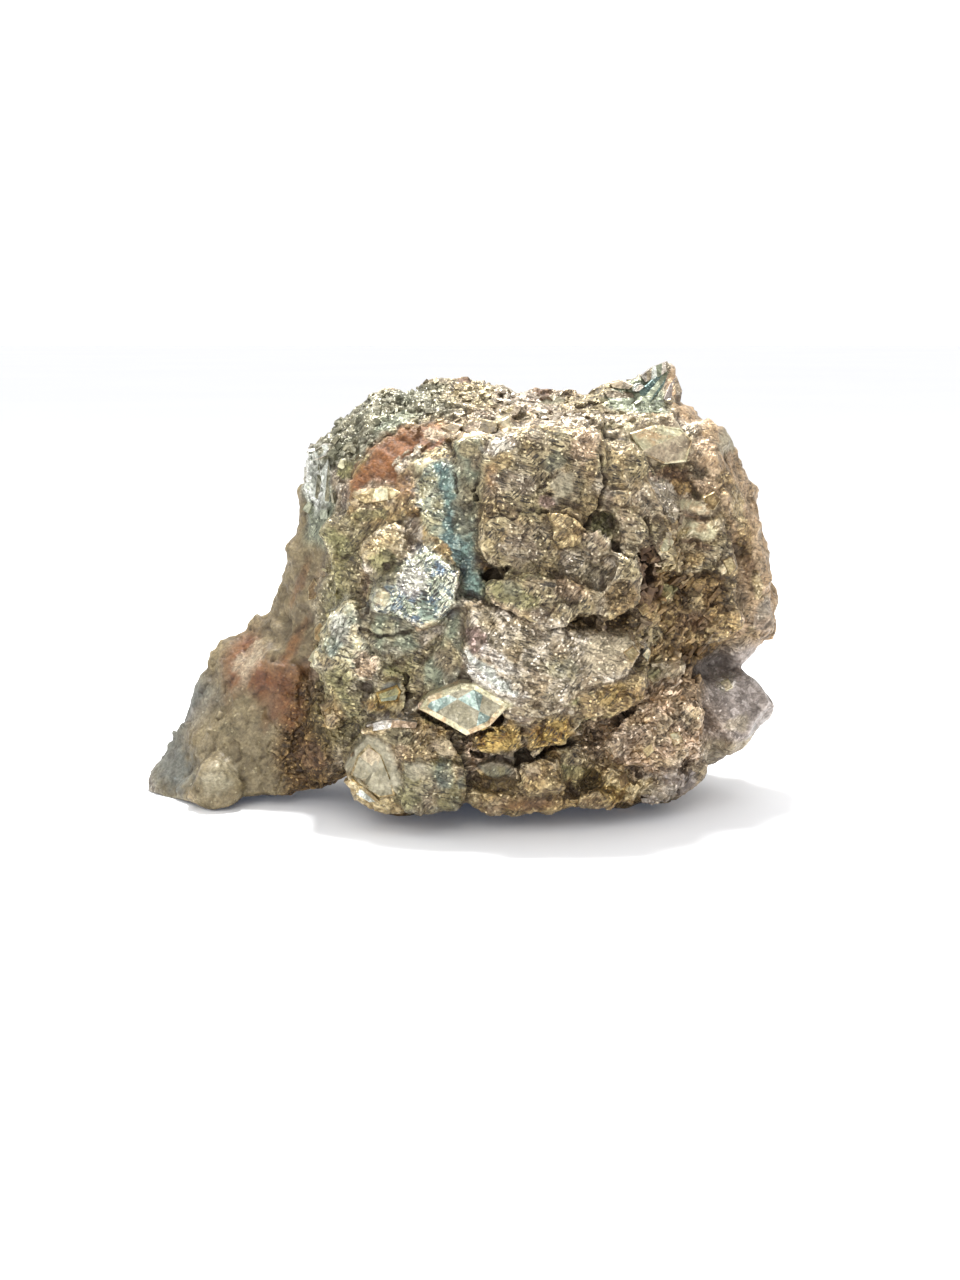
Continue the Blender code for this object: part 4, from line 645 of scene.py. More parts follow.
STAINS = (
    Stain(Tone.PURPLE, (11.0, -18.5, 44.0), (1.3, 1.0), 20.0, 0.9),
    Stain(Tone.PALE_GREY, (13.0, -18.5, 46.0), (1.4, 1.9), -30.0, 0.7),
    Stain(Tone.RUST, (4.0, -19.0, 47.0), (0.8, 1.6), 10.0, 0.6),
    Stain(Tone.BRIGHT_SILVER, (5.0, -18.0, 51.0), (2.6, 1.0), 20.0, 0.6),
    Stain(Tone.PINK_BRASS, (16.0, -17.0, 51.0), (2.0, 2.6), -20.0, 0.8),
    Stain(Tone.DARK_GREEN, (12.5, -16.5, 52.5), (1.3, 0.6), -5.0, 0.9),
    Stain(Tone.PALE_BRASS, (3.5, -20.0, 38.5), (1.4, 1.2), 0.0, 0.7),
    Stain(Tone.GREY_PURPLE, (7.5, -20.0, 38.0), (3.0, 1.6), -10.0, 0.7),
    Stain(Tone.GREY_PURPLE, (7.0, -20.0, 46.5), (3.4, 1.4), -15.0, 0.6),
    Stain(Tone.PALE_BRASS, (13.0, -21.0, 41.0), (1.6, 1.4), 0.0, 0.6),
    Stain(Tone.GREY_GREEN, (12.0, -18.0, 49.0), (1.8, 1.2), 30.0, 0.5),
    Stain(Tone.DARK_GREEN, (0.5, -17.0, 43.0), (1.6, 4.4), -8.0, 0.7),
    Stain(Tone.GREY_GREEN, (-3.8, -14.5, 43.0), (1.6, 4.6), 10.0, 0.9),
    Stain(Tone.OLIVE, (6.5, -23.0, 32.5), (3.6, 1.4), -20.0, 0.9),
    Stain(Tone.GREEN_BLUE, (6.5, -23.0, 33.5), (1.6, 0.9), -20.0, 0.6),
    Stain(Tone.GREY_PURPLE, (11.0, -24.0, 29.5), (2.6, 1.1), -30.0, 0.9),
    Stain(Tone.PINK_BRASS, (14.0, -21.0, 33.0), (2.6, 1.4), -20.0, 0.6),
    Stain(Tone.PURPLE, (2.0, -21.5, 26.5), (1.6, 2.0), 0.0, 0.9),
    # These two paint the bright band's highlight
    Stain(Tone.BRIGHT_SILVER, (5.0, -22.0, 24.0), (3.4, 0.9), -38.0, 0.8),
    Stain(Tone.WHITE, (3.8, -22.6, 22.4), (4.8, 0.8), -38.0, 0.9),
    Stain(Tone.TAN, (18.5, -20.0, 25.0), (3.6, 3.0), 0.0, 0.75),
    Stain(Tone.GREEN_BLUE, (13.0, -22.5, 23.0), (2.2, 1.6), 0.0, 0.6),
    Stain(Tone.YELLOW_BRASS, (19.5, -21.0, 19.5), (2.2, 1.6), 30.0, 0.6),
    Stain(Tone.BROWN, (21.0, -19.0, 28.5), (2.0, 1.6), 0.0, 0.7),
    Stain(Tone.STEEL_BLUE, (-2.0, -22.5, 9.0), (1.3, 2.4), 0.0, 0.35),
    Stain(Tone.PALE_GREY, (-5.5, -22.5, 9.5), (1.6, 1.4), 0.0, 0.6),
    Stain(Tone.OLIVE, (-7.0, -22.5, 5.5), (2.0, 1.6), 0.0, 0.7),
    Stain(Tone.TAN, (-2.0, -20.5, 12.5), (2.0, 1.4), -15.0, 0.7),
    Stain(Tone.BRIGHT_SILVER, (-8.5, -20.0, 15.5), (3.0, 0.45), 4.0, 0.9),
    Stain(Tone.PALE_BRASS, (-14.0, -19.5, 6.5), (2.2, 1.2), -30.0, 1.0),
    Stain(Tone.STEEL_BLUE, (-4.0, -20.5, 30.0), (1.6, 1.8), 0.0, 0.5),
    Stain(Tone.CREAM, (-10.0, -19.0, 31.5), (1.0, 1.4), 0.0, 0.9),
    Stain(Tone.BRIGHT_SILVER, (-6.0, -19.5, 34.0), (2.4, 2.2), 30.0, 0.6),
    Stain(Tone.CREAM, (-4.5, -20.0, 28.0), (1.8, 0.7), 25.0, 0.8),
    # A painted highlight on the left lump
    Stain(Tone.WHITE, (-16.0, -15.5, 27.0), (1.5, 2.4), 0.0, 0.7),
    Stain(Tone.STEEL_BLUE, (-17.0, -15.5, 24.5), (1.2, 1.6), 0.0, 0.5),
    Stain(Tone.OLIVE, (-16.0, -15.0, 20.5), (2.0, 1.6), 0.0, 0.8),
    Stain(Tone.PINK_BRASS, (-12.5, -17.5, 22.5), (1.8, 2.0), 0.0, 0.8),
    Stain(Tone.GREY_STONE, (-9.3, -17.6, 19.4), (1.5, 0.8), 30.0, 1.0),
    Stain(Tone.YELLOW_BRASS, (-10.5, -17.6, 17.4), (2.6, 0.9), 10.0, 0.7),
    Stain(Tone.CREAM, (-12.5, -12.0, 44.2), (2.0, 0.6), 10.0, 0.9),
    Stain(Tone.OLIVE, (-12.0, -11.5, 41.6), (3.0, 0.8), 10.0, 0.7),
    Stain(Tone.RUST, (-7.5, -13.0, 45.5), (1.8, 1.6), 0.0, 0.7),
    Stain(Tone.TAN, (-3.0, -9.0, 52.0), (2.6, 0.9), 10.0, 0.7),
    Stain(Tone.ORANGE_STONE, (-25.0, -6.0, 15.0), (4.0, 1.4), 57.0, 0.8),
    Stain(Tone.RUST, (-23.6, -5.0, 22.0), (5.0, 0.8), 60.0, 0.7),
    Stain(Tone.TAN, (-29.6, -5.0, 18.6), (5.0, 0.8), 57.0, 0.45),
    Stain(Tone.RUST, (-22.4, -4.0, 31.0), (4.0, 0.6), 65.0, 0.5),
    Stain(Tone.TAN, (-30.0, -4.0, 20.5), (3.2, 1.6), 45.0, 0.6),
    Stain(Tone.RUST, (-23.5, -6.0, 14.0), (1.8, 3.0), 0.0, 0.6),
    Stain(Tone.TAN, (-37.0, -1.0, 12.0), (1.4, 4.0), -35.0, 0.25),
    Stain(Tone.GREEN_STONE, (-30.0, -5.5, 13.0), (2.4, 2.6), 0.0, 0.9),
    Stain(Tone.DARK_GREEN, (-32.0, -5.5, 11.0), (1.4, 1.2), 0.0, 0.5),
    Stain(Tone.PALE_GREY, (-33.5, -9.5, 4.5), (2.4, 1.8), 0.0, 0.4),
    Stain(Tone.DARK_BROWN, (-20.5, -9.0, 8.0), (2.6, 2.6), 0.0, 0.6),
    Stain(Tone.DARK_BROWN, (0.5, 1.0, 59.0), (1.6, 0.8), 0.0, 1.0),
    Stain(Tone.DARK_BROWN, (11.5, 2.0, 57.5), (1.6, 1.4), 20.0, 1.0),
    Stain(Tone.GREY_GREEN, (-9.0, -4.5, 53.5), (3.4, 0.9), 20.0, 0.7),
    Stain(Tone.DARK_GREEN, (-4.0, -4.0, 54.0), (2.6, 0.7), 12.0, 0.6),
    Stain(Tone.GREY_PURPLE, (11.5, -6.5, 54.5), (1.8, 1.8), 0.0, 0.8),
    Stain(Tone.DARK_GREEN, (8.5, -6.5, 54.0), (1.0, 0.6), 0.0, 0.8),
    Stain(Tone.OLD_GOLD, (35.5, -6.0, 45.5), (1.4, 1.8), 0.0, 0.9),
    Stain(Tone.OLD_GOLD, (38.5, -4.0, 37.5), (1.3, 4.0), 8.0, 0.8),
    Stain(Tone.TAN, (41.5, -3.5, 27.8), (0.9, 2.0), -20.0, 0.9),
    Stain(Tone.OLD_GOLD, (31.0, -10.5, 35.5), (1.8, 1.2), 10.0, 0.9),
    Stain(Tone.CREAM, (35.0, -9.5, 34.0), (0.9, 0.7), 0.0, 0.9),
    # This stain and the next paint crevice shade among the shards
    Stain(Tone.DARK_BROWN, (24.0, -14.0, 33.0), (2.4, 3.0), 20.0, 0.8),
    Stain(Tone.DARK_BROWN, (31.0, -9.0, 27.0), (2.6, 2.0), 0.0, 0.6),
    Stain(Tone.OLIVE, (27.5, -12.5, 31.5), (1.2, 1.0), 0.0, 0.9),
    Stain(Tone.TAN, (36.0, -7.0, 17.5), (1.3, 0.7), -10.0, 0.9),
    Stain(Tone.PALE_BRASS, (20.5, -17.0, 7.5), (2.0, 1.8), 0.0, 0.7),
    Stain(Tone.BROWN, (27.0, -16.0, 5.5), (2.2, 1.6), 0.0, 0.8),
    Stain(Tone.RUST, (9.0, -21.0, 4.5), (4.0, 0.9), 5.0, 0.6),
    Stain(Tone.GREEN_BLUE, (4.5, -20.5, 9.0), (2.0, 1.0), 0.0, 0.7),
    Stain(Tone.PALE_BRASS, (1.5, -20.0, 5.5), (1.1, 1.3), -20.0, 0.8),
    Stain(Tone.SILVER_BLUE, (-4.0, -14.5, 44.0), (1.9, 4.4), 10.0, 0.8),
    # These two paint the shade in the dark cove and in a crevice
    Stain(Tone.DARK_BROWN, (28.0, -8.0, 46.8), (3.2, 0.9), 0.0, 0.8),
    Stain(Tone.DARK_BROWN, (24.2, -15.0, 36.0), (1.6, 2.6), 10.0, 0.9),
    Stain(Tone.GREEN_STONE, (-30.5, -6.0, 14.0), (2.2, 2.6), 0.0, 1.0),
    Stain(Tone.PALE_GREY, (-33.0, -9.0, 5.5), (2.6, 2.0), 0.0, 0.4),
    # These four paint the ribs: lit tops as painted highlights and the gaps between as painted shade
    Stain(Tone.CREAM, (31.9, -8.4, 39.2), (2.6, 1.2), -15.0, 0.9),
    Stain(Tone.CREAM, (31.0, -9.0, 42.4), (2.6, 0.8), -20.0, 0.8),
    Stain(Tone.DARK_BROWN, (31.5, -8.6, 40.9), (2.6, 0.5), -20.0, 0.8),
    Stain(Tone.DARK_BROWN, (31.5, -8.6, 37.4), (2.4, 0.6), -15.0, 0.8),
    Stain(Tone.OLD_GOLD, (30.5, -12.0, 24.9), (1.8, 1.3), 20.0, 0.9),
    Stain(Tone.PALE_BRASS, (23.7, -16.6, 5.5), (2.2, 1.4), 10.0, 0.8),
    Stain(Tone.SLATE, (29.2, -14.6, 5.0), (2.6, 2.0), 0.0, 0.9),
    Stain(Tone.PALE_GREY, (36.6, -2.0, 50.8), (2.6, 1.8), 40.0, 0.8),
    Stain(Tone.BROWN, (42.5, 0.0, 24.5), (1.6, 2.2), 0.0, 0.6),
    Stain(Tone.DARK_GREEN, (-7.9, -19.6, 13.7), (2.2, 1.2), 0.0, 0.9),
    Stain(Tone.OLIVE, (-9.9, -15.0, 36.0), (2.2, 1.8), 0.0, 0.9),
    # Painted shade in the recess under the scaly lump
    Stain(Tone.DARK_GREEN, (-16.0, -10.6, 40.8), (1.8, 1.2), 0.0, 0.6),
    Stain(Tone.GREY_STONE, (-40.5, -1.0, 4.5), (3.4, 3.4), 0.0, 1.0),
    Stain(Tone.DARK_GREEN, (-8.6, -19.5, 13.4), (3.0, 0.9), 0.0, 0.8),
    # Painted shade below the egg
    Stain(Tone.DARK_GREEN, (-10.0, -15.0, 34.0), (2.6, 1.2), 25.0, 0.8),
    Stain(Tone.BROWN, (20.5, -20.0, 32.0), (2.5, 2.5), 0.0, 0.7),
    Stain(Tone.SLATE, (41.5, -3.0, 26.5), (1.6, 2.6), 0.0, 0.4),
    Stain(Tone.PALE_BRASS, (37.5, -5.0, 42.0), (1.2, 3.0), 10.0, 0.7),
    Stain(Tone.DARK_BROWN, (39.5, -3.0, 33.0), (1.0, 3.0), 15.0, 0.6),
    Stain(Tone.PALE_BRASS, (40.5, -3.0, 31.0), (0.8, 2.4), 15.0, 0.8),
    Stain(Tone.BRIGHT_SILVER, (36.3, -8.0, 17.8), (1.5, 0.9), 20.0, 0.8),
    Stain(Tone.TAN, (37.5, -7.0, 12.5), (2.0, 1.2), 10.0, 0.5),
    Stain(Tone.SILVER, (27.0, -15.0, 5.0), (3.0, 1.2), 0.0, 0.6),
)

CRACKS = (
    Crack(((10.0, -19.0, 42.5), (11.5, -19.5, 43.0), (13.5, -20.0, 43.0), (16.5, -17.0, 41.0)), 0.35, 0.9),
    Crack(((16.5, -17.0, 41.0), (18.0, -17.5, 43.5), (18.5, -17.0, 46.5), (18.0, -16.5, 49.5)), 0.4, 1.1),
    Crack(((16.5, -17.0, 41.0), (18.5, -19.0, 40.0), (20.0, -18.0, 38.0), (22.0, -19.0, 37.0)), 0.35, 1.0),
    Crack(((2.0, -17.0, 46.0), (1.8, -17.0, 45.3)), 0.35, 1.3),
    Crack(((2.1, -17.0, 44.6), (1.9, -17.0, 44.0)), 0.4, 1.4),
    Crack(((-1.0, -15.0, 47.5), (-0.5, -15.5, 45.0)), 0.3, 0.8),
    Crack(((3.5, -18.0, 34.4), (4.5, -17.5, 34.6)), 0.9, 3.0),
    Crack(((4.5, -18.5, 34.6), (6.2, -20.0, 35.6)), 0.4, 1.4),
    Crack(((0.0, -18.0, 33.5), (-0.5, -18.5, 31.5)), 0.3, 0.8),
    Crack(
        ((1.0, -19.5, 32.4), (4.5, -20.5, 30.8), (8.5, -21.5, 29.2), (12.0, -21.5, 28.0),
        (15.0, -21.0, 28.8)), 0.4, 0.9
    ),
    Crack(((-5.5, -19.0, 16.5), (-2.0, -20.0, 14.8), (0.5, -20.5, 13.8), (4.0, -22.0, 15.0)), 0.4, 1.1),
    Crack(((-1.5, -19.0, 13.8), (0.0, -19.5, 11.8), (1.0, -20.0, 9.5), (1.0, -20.0, 6.5)), 0.45, 1.3),
    Crack(
        ((1.5, -19.5, 11.2), (4.5, -20.0, 10.8), (7.0, -20.0, 10.2), (9.5, -19.5, 11.0),
        (15.0, -18.0, 12.0)), 0.55, 1.6
    ),
    Crack(((15.5, -19.5, 14.6), (18.5, -17.0, 13.8), (20.5, -17.0, 14.8), (22.5, -17.0, 16.6)), 0.7, 1.8),
    Crack(((7.5, -20.0, 10.5), (7.5, -20.0, 8.0)), 0.35, 0.9),
    Crack(((7.8, -22.0, 15.0), (8.2, -22.0, 12.3)), 0.3, 0.8),
    Crack(((-19.4, -8.0, 16.0), (-19.0, -8.5, 14.4)), 0.7, 2.2),
    Crack(((-7.2, -17.0, 21.0), (-7.0, -17.5, 18.5), (-7.2, -18.0, 16.4)), 0.45, 1.4),
    Crack(((31.2, -9.5, 24.0), (32.0, -8.5, 21.5), (31.5, -10.0, 19.0)), 0.6, 1.6),
    Crack(((22.5, -16.0, 37.0), (24.5, -14.5, 35.5), (25.0, -14.0, 33.0)), 0.8, 1.8),
    Crack(((-13.0, -17.0, 27.0), (-10.5, -17.0, 26.2), (-6.5, -17.5, 27.0)), 0.35, 0.8),
    Crack(((23.5, -17.5, 24.8), (24.5, -16.0, 22.0), (24.2, -16.5, 19.0)), 0.5, 1.2),
    Crack(((24.0, -15.0, 41.5), (24.8, -14.5, 38.0), (26.0, -14.0, 35.5)), 0.4, 1.0),
)  # fmt: skip


def noise_at(points: np.ndarray, size: float, seed: float = 0.0) -> np.ndarray:
    """Smooth noise of about -1 to 1 at each point, in waves of the size."""
    return np.fromiter((noise.noise(p) for p in (points / size + seed).tolist()), float, len(points))


def warped(points: np.ndarray, size: float, reach: float, seed: float) -> np.ndarray:
    """The points, each pushed up to about the reach by noise of the size."""
    pushes = np.array([noise.noise_vector(p)[:] for p in (points / size + seed).tolist()])
    return points + reach * pushes


def cells_at(
    points: np.ndarray, size: float, seed: float, blocky: bool = False
) -> tuple[np.ndarray, np.ndarray, np.ndarray]:
    """Split space into irregular cells of a size.

    Args:
        points: places in millimetres.
        size: the width of a cell.
        seed: picks another division of space.
        blocky: whether the cells are square-edged, as crystals that grew together are.

    Returns:
        Three random numbers of -1 to 1 that all of a cell shares, the way from the cell's middle in
        cells, and how far the point is from the next cell.
    """
    metric = "CHEBYCHEV" if blocky else "DISTANCE"
    places = points / size + seed
    found = [noise.voronoi(p, distance_metric=metric) for p in places.tolist()]
    middles = np.array([near[0][:] for _far, near in found])
    reach = np.array([far[:2] for far, _near in found])
    mixed = np.sin(middles @ CELL_MIX) * CELL_SPREAD
    return 2.0 * (mixed - np.floor(mixed)) - 1.0, places - middles, reach[:, 1] - reach[:, 0]


def facets_at(points: np.ndarray, size: float, seed: float, blocky: bool = False) -> np.ndarray:
    """The height, from about -1 to 1, of a surface broken into flat faces that each tilt their own way."""
    shares, offsets, _border = cells_at(points, size, seed, blocky)
    return np.clip(1.3 * (shares * offsets).sum(axis=1) + 0.45 * shares[:, 0], -1.0, 1.0)


def hackles_at(points: np.ndarray, size: float, seed: float) -> np.ndarray:
    """The height, from about -1 to 1, of sharp little ridges that run one way here and another there."""
    bent = warped(points, 2.5 * size, 0.5 * size, seed)
    turned = [
        1.0 - 3.0 * np.abs(noise_at(bent @ run, size, seed))
        for run in (HACKLE_RUN, HACKLE_RUN[::-1])
    ]
    share = eased(noise_at(points, 2.6 * size, seed + 1.0), -0.12, 0.12)
    return turned[0] + share * (turned[1] - turned[0])


def distance_inside(outline: Outline, x: np.ndarray, z: np.ndarray) -> np.ndarray:
    """How far points are inside an outline; below zero they are outside."""
    inside = np.zeros(len(x), bool)
    nearest = np.full(len(x), np.inf)
    for (x0, z0), (x1, z1) in zip(outline, outline[1:] + outline[:1]):
        if z0 != z1:
            inside ^= ((z0 > z) != (z1 > z)) & (x < (x1 - x0) * (z - z0) / (z1 - z0) + x0)
        run_x, run_z = x1 - x0, z1 - z0
        share = np.clip(((x - x0) * run_x + (z - z0) * run_z) / (run_x**2 + run_z**2), 0.0, 1.0)
        nearest = np.minimum(nearest, np.hypot(x - x0 - share * run_x, z - z0 - share * run_z))
    return np.where(inside, nearest, -nearest)


def distance_to_run(run: tuple[Point, ...], points: np.ndarray) -> tuple[np.ndarray, np.ndarray]:
    """How far points are from a line through places, seen from the front, and how far in depth."""
    nearest = np.full(len(points), np.inf)
    behind = np.zeros(len(points))
    for start, end in zip(np.array(run), np.array(run)[1:]):
        step = end - start
        reach = step[0] ** 2 + step[2] ** 2
        along = (points[:, 0] - start[0]) * step[0] + (points[:, 2] - start[2]) * step[2]
        share = np.clip(along / reach, 0.0, 1.0)
        spot = start + share[:, None] * step
        away = np.hypot(points[:, 0] - spot[:, 0], points[:, 2] - spot[:, 2])
        behind = np.where(away < nearest, points[:, 1] - spot[:, 1], behind)
        nearest = np.minimum(nearest, away)
    return nearest, behind


def eased(value: np.ndarray, low: float, high: float) -> np.ndarray:
    """0 at low, 1 at high, and a smooth rise between."""
    share = np.clip((value - low) / (high - low), 0.0, 1.0)
    return share * share * (3.0 - 2.0 * share)


class LookMap:
    """Which finish each place of the surface has.

    The ground is crystals of a few tones. The zones, the plates of the front and the stains are laid
    over it in that order. A row holds the finish's numbers, and borders mix the rows of both sides.
    """

    def __init__(self, points: np.ndarray, normals: np.ndarray) -> None:
        """Work the rows out for points in table millimetres, with the surface's directions."""
        self.points = points
        self.normals = normals
        self.near = warped(points, *NEAR_BEND)
        self.wide = warped(points, *WIDE_BEND)
        shares, _offsets, _border = cells_at(self.wide, GROUND_CELL, 21.0)
        picked = ((shares[:, 0] * 0.5 + 0.5) * len(GROUND_TONES)).astype(int) % len(GROUND_TONES)
        self.rows = np.array([finish_row(tone) for tone in GROUND_TONES])[picked]
        for zone in ZONES:
            self._lay_zone(zone)
        self.plated = np.zeros(len(points))
        self.ragged = 0.7 * noise_at(points, 1.1, 33.0)
        for plate in PLATES:
            self._lay_plate(plate)
        for tone, seed in FILMS:
            film = FILM_STRENGTH * self.plated * eased(noise_at(self.near, FILM_SIZE, seed), 0.0, 0.35)
            self._lay(tone, np.arange(len(points)), film)
        for stain in STAINS:
            self._lay_stain(stain)

    def _lay(self, tone: Tone, where: np.ndarray, share: np.ndarray) -> None:
        """Mix a tone's row into the rows that an index picks."""
        self.rows[where] += share[:, None] * (finish_row(tone) - self.rows[where])

    def _lay_zone(self, zone: Zone) -> None:
        """Fill an ellipsoid with one tone, with a wide border."""
        away = np.linalg.norm((self.wide - np.array(zone.at)) / np.array(zone.reach), axis=1)
        share = np.clip(zone.strength * eased(-away, *ZONE_BORDER), 0.0, 1.0)
        where = np.flatnonzero(share > 0.01)
        self._lay(zone.tone, where, share[where])

    def _lay_plate(self, plate: Plate) -> None:
        """Give a plate its tone, up to its outline."""
        low = np.min(plate.outline, axis=0) - PLATE_MARGIN
        high = np.max(plate.outline, axis=0) + PLATE_MARGIN
        x, z = self.near[:, 0], self.near[:, 2]
        where = np.flatnonzero((x > low[0]) & (x < high[0]) & (z > low[1]) & (z < high[1]))
        behind = self.points[where, 1] - plate.plane_at(self.points[where])
        facing = (behind > -plate.dome - PLATE_IN_FRONT) & (behind < PLATE_BEHIND)
        facing &= self.normals[where, 1] < PLATE_FACING
        where = where[facing]
        inside = distance_inside(plate.outline, x[where], z[where])
        share = eased(inside + self.ragged[where], -plate.border, plate.border)
        self._lay(plate.tone, where, share)
        level = (random.Random(plate.name).random() - 0.5) * PLATE_VARIETY
        self.part("body")[where] *= 1.0 + level * share[:, None]
        bare = plate.tone in BARE_TONES or plate.tone.value.relief is FACETED
        self.plated[where] *= 1.0 - share
        self.plated[where] += share * (0.0 if bare else 1.0)
        seam = self.part("seam")
        seam[where, 0] = np.maximum(seam[where, 0], eased(-np.abs(inside + SEAM_LINE), *SEAM_BORDER))

    def _lay_stain(self, stain: Stain) -> None:
        """Lay an oval patch of a tone on the front, with a ragged border."""
        turn = math.radians(stain.turn)
        x, z = self.near[:, 0] - stain.at[0], self.near[:, 2] - stain.at[2]
        along = (x * math.cos(turn) + z * math.sin(turn)) / stain.reach[0]
        across = (z * math.cos(turn) - x * math.sin(turn)) / stain.reach[1]
        depth = np.abs(self.points[:, 1] - stain.at[1])
        where = np.flatnonzero((np.hypot(along, across) < STAIN_MARGIN) & (depth < STAIN_DEPTH))
        away = np.hypot(along[where], across[where])
        away += 0.35 * noise_at(self.points[where], 0.8, 31.0)
        soft = SOFT_BORDER if stain.tone.value.relief is SMOOTH else 0.0
        share = eased(-away, STAIN_BORDER[0] - soft, STAIN_BORDER[1] + soft)
        self._lay(stain.tone, where, stain.strength * share)

    def part(self, name: str) -> np.ndarray:
        """The columns of the rows that hold one kind of number."""
        return self.rows[:, ROW_PARTS[name]]


def surface_of(mesh: bpy.types.Mesh) -> tuple[np.ndarray, np.ndarray]:
    """A mesh's vertices in table millimetres, and their normals."""
    points = np.empty(len(mesh.vertices) * 3, np.float32)
    mesh.vertices.foreach_get("co", points)
    normals = np.empty(len(mesh.vertices) * 3, np.float32)
    mesh.vertex_normals.foreach_get("vector", normals)
    return points.reshape(-1, 3) / MM + TABLE_ORIGIN, normals.reshape(-1, 3).astype(float)


def move_to(mesh: bpy.types.Mesh, points: np.ndarray) -> None:
    """Put a mesh's vertices at points in table millimetres."""
    mesh.vertices.foreach_set("co", ((points - TABLE_ORIGIN) * MM).astype(np.float32).ravel())
    mesh.update()


def hollows_of(mesh: bpy.types.Mesh, rounds: int) -> np.ndarray:
    """How far each vertex lies below the average of its surroundings, in millimetres."""
    points, normals = surface_of(mesh)
    ends = np.empty(len(mesh.edges) * 2, np.int32)
    mesh.edges.foreach_get("vertices", ends)
    ends = ends.reshape(-1, 2)
    here, there = np.concatenate((ends[:, 0], ends[:, 1])), np.concatenate((ends[:, 1], ends[:, 0]))
    count = np.maximum(np.bincount(here, minlength=len(points)), 1)
    level = points
    for _round in range(rounds):
        sums = [np.bincount(here, weights=level[there, axis], minlength=len(points)) for axis in range(3)]
        level = np.stack(sums, axis=1) / count[:, None]
    return ((level - points) * normals).sum(axis=1)


def write_look(mesh: bpy.types.Mesh, rows: np.ndarray, shade_and_wear: np.ndarray, domain: str = "POINT") -> None:
    """Store the finish of each vertex or face corner for the material to read.

    Args:
        mesh: the piece's mesh.
        rows: the finish of each, as rows of numbers.
        shade_and_wear: for each, how hollow, which paints crevice shade and dirt, how raised, which
        paints edge wear and highlights, how stroked and how broken it is.
        domain: whether the rows are for the vertices or for the face corners.
    """
    pairs = {"tint": ("body", "metallic"), "mottle": ("mottle", "roughness"), "gleam": ("gleam", "glitter")}
    layers = {name: np.hstack([rows[:, ROW_PARTS[part]] for part in parts]) for name, parts in pairs.items()}
    layers["shade_and_wear"] = shade_and_wear
    for name, values in layers.items():
        layer = mesh.attributes.new(name, "FLOAT_COLOR", domain)
        layer.data.foreach_set("color", values.astype(np.float32).ravel())


def made_object(name: str, mesh: bpy.types.Mesh) -> bpy.types.Object:
    """A mesh as an object of the scene, at the origin."""
    obj = bpy.data.objects.new(name, mesh)
    bpy.context.scene.collection.objects.link(obj)
    return obj


def with_modifiers(obj: bpy.types.Object) -> bpy.types.Mesh:
    """The object's mesh with its modifiers applied, and the modifiers gone."""
    bpy.context.view_layer.update()
    mesh = bpy.data.meshes.new_from_object(obj.evaluated_get(bpy.context.evaluated_depsgraph_get()))
    obj.modifiers.clear()
    obj.data = mesh
    return mesh


def finish_piece(obj: bpy.types.Object, material: bpy.types.Material, stands_for: bool = False) -> None:
    """Give a piece its material and tie it to the specimen.

    Args:
        obj: the piece.
        material: its material.
        stands_for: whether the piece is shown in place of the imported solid.
    """
    obj.data.materials.clear()
    obj.data.materials.append(material)
    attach(obj, BODY)
    if stands_for:
        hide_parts(NODE)
    LOG.info("%s: %d faces", obj.name, len(obj.data.polygons))


def outline_face(body: bmesh.types.BMesh, outline: Outline, depth: float) -> bmesh.types.BMFace:
    """A face with the outline's corners, upright at a depth."""
    return body.faces.new([body.verts.new((x, depth, z)) for x, z in outline])


def extrude_to(
    body: bmesh.types.BMesh, face: bmesh.types.BMFace, section: Matrix, keep_base: bool = False
) -> bmesh.types.BMFace:
    """Extrude a face and put its copy where the matrix sends it. A base that is kept closes that end."""
    grown = bmesh.ops.extrude_face_region(body, geom=[face])["geom"]
    if not keep_base:
        bmesh.ops.delete(body, geom=[face], context="FACES_ONLY")
    corners = [item for item in grown if isinstance(item, bmesh.types.BMVert)]
    bmesh.ops.transform(body, matrix=section, verts=corners)
    return next(item for item in grown if isinstance(item, bmesh.types.BMFace))


def shrunk_about(centre: Vector, share: float) -> Matrix:
    """A scaling in x and z that leaves the centre where it is."""
    shrink = Matrix.Diagonal((share, 1.0, share, 1.0))
    return Matrix.Translation(centre) @ shrink @ Matrix.Translation(-centre)


def add_shape(target: bmesh.types.BMesh, shape: bmesh.types.BMesh, place: Matrix) -> None:
    """Add a closed shape in table millimetres to a body in metres, with its faces outwards."""
    bmesh.ops.transform(shape, matrix=TABLE_TO_SCENE @ place, verts=shape.verts)
    bmesh.ops.recalc_face_normals(shape, faces=shape.faces)
    mesh = bpy.data.meshes.new("shape")
    shape.to_mesh(mesh)
    shape.free()
    target.from_mesh(mesh)
    bpy.data.meshes.remove(mesh)


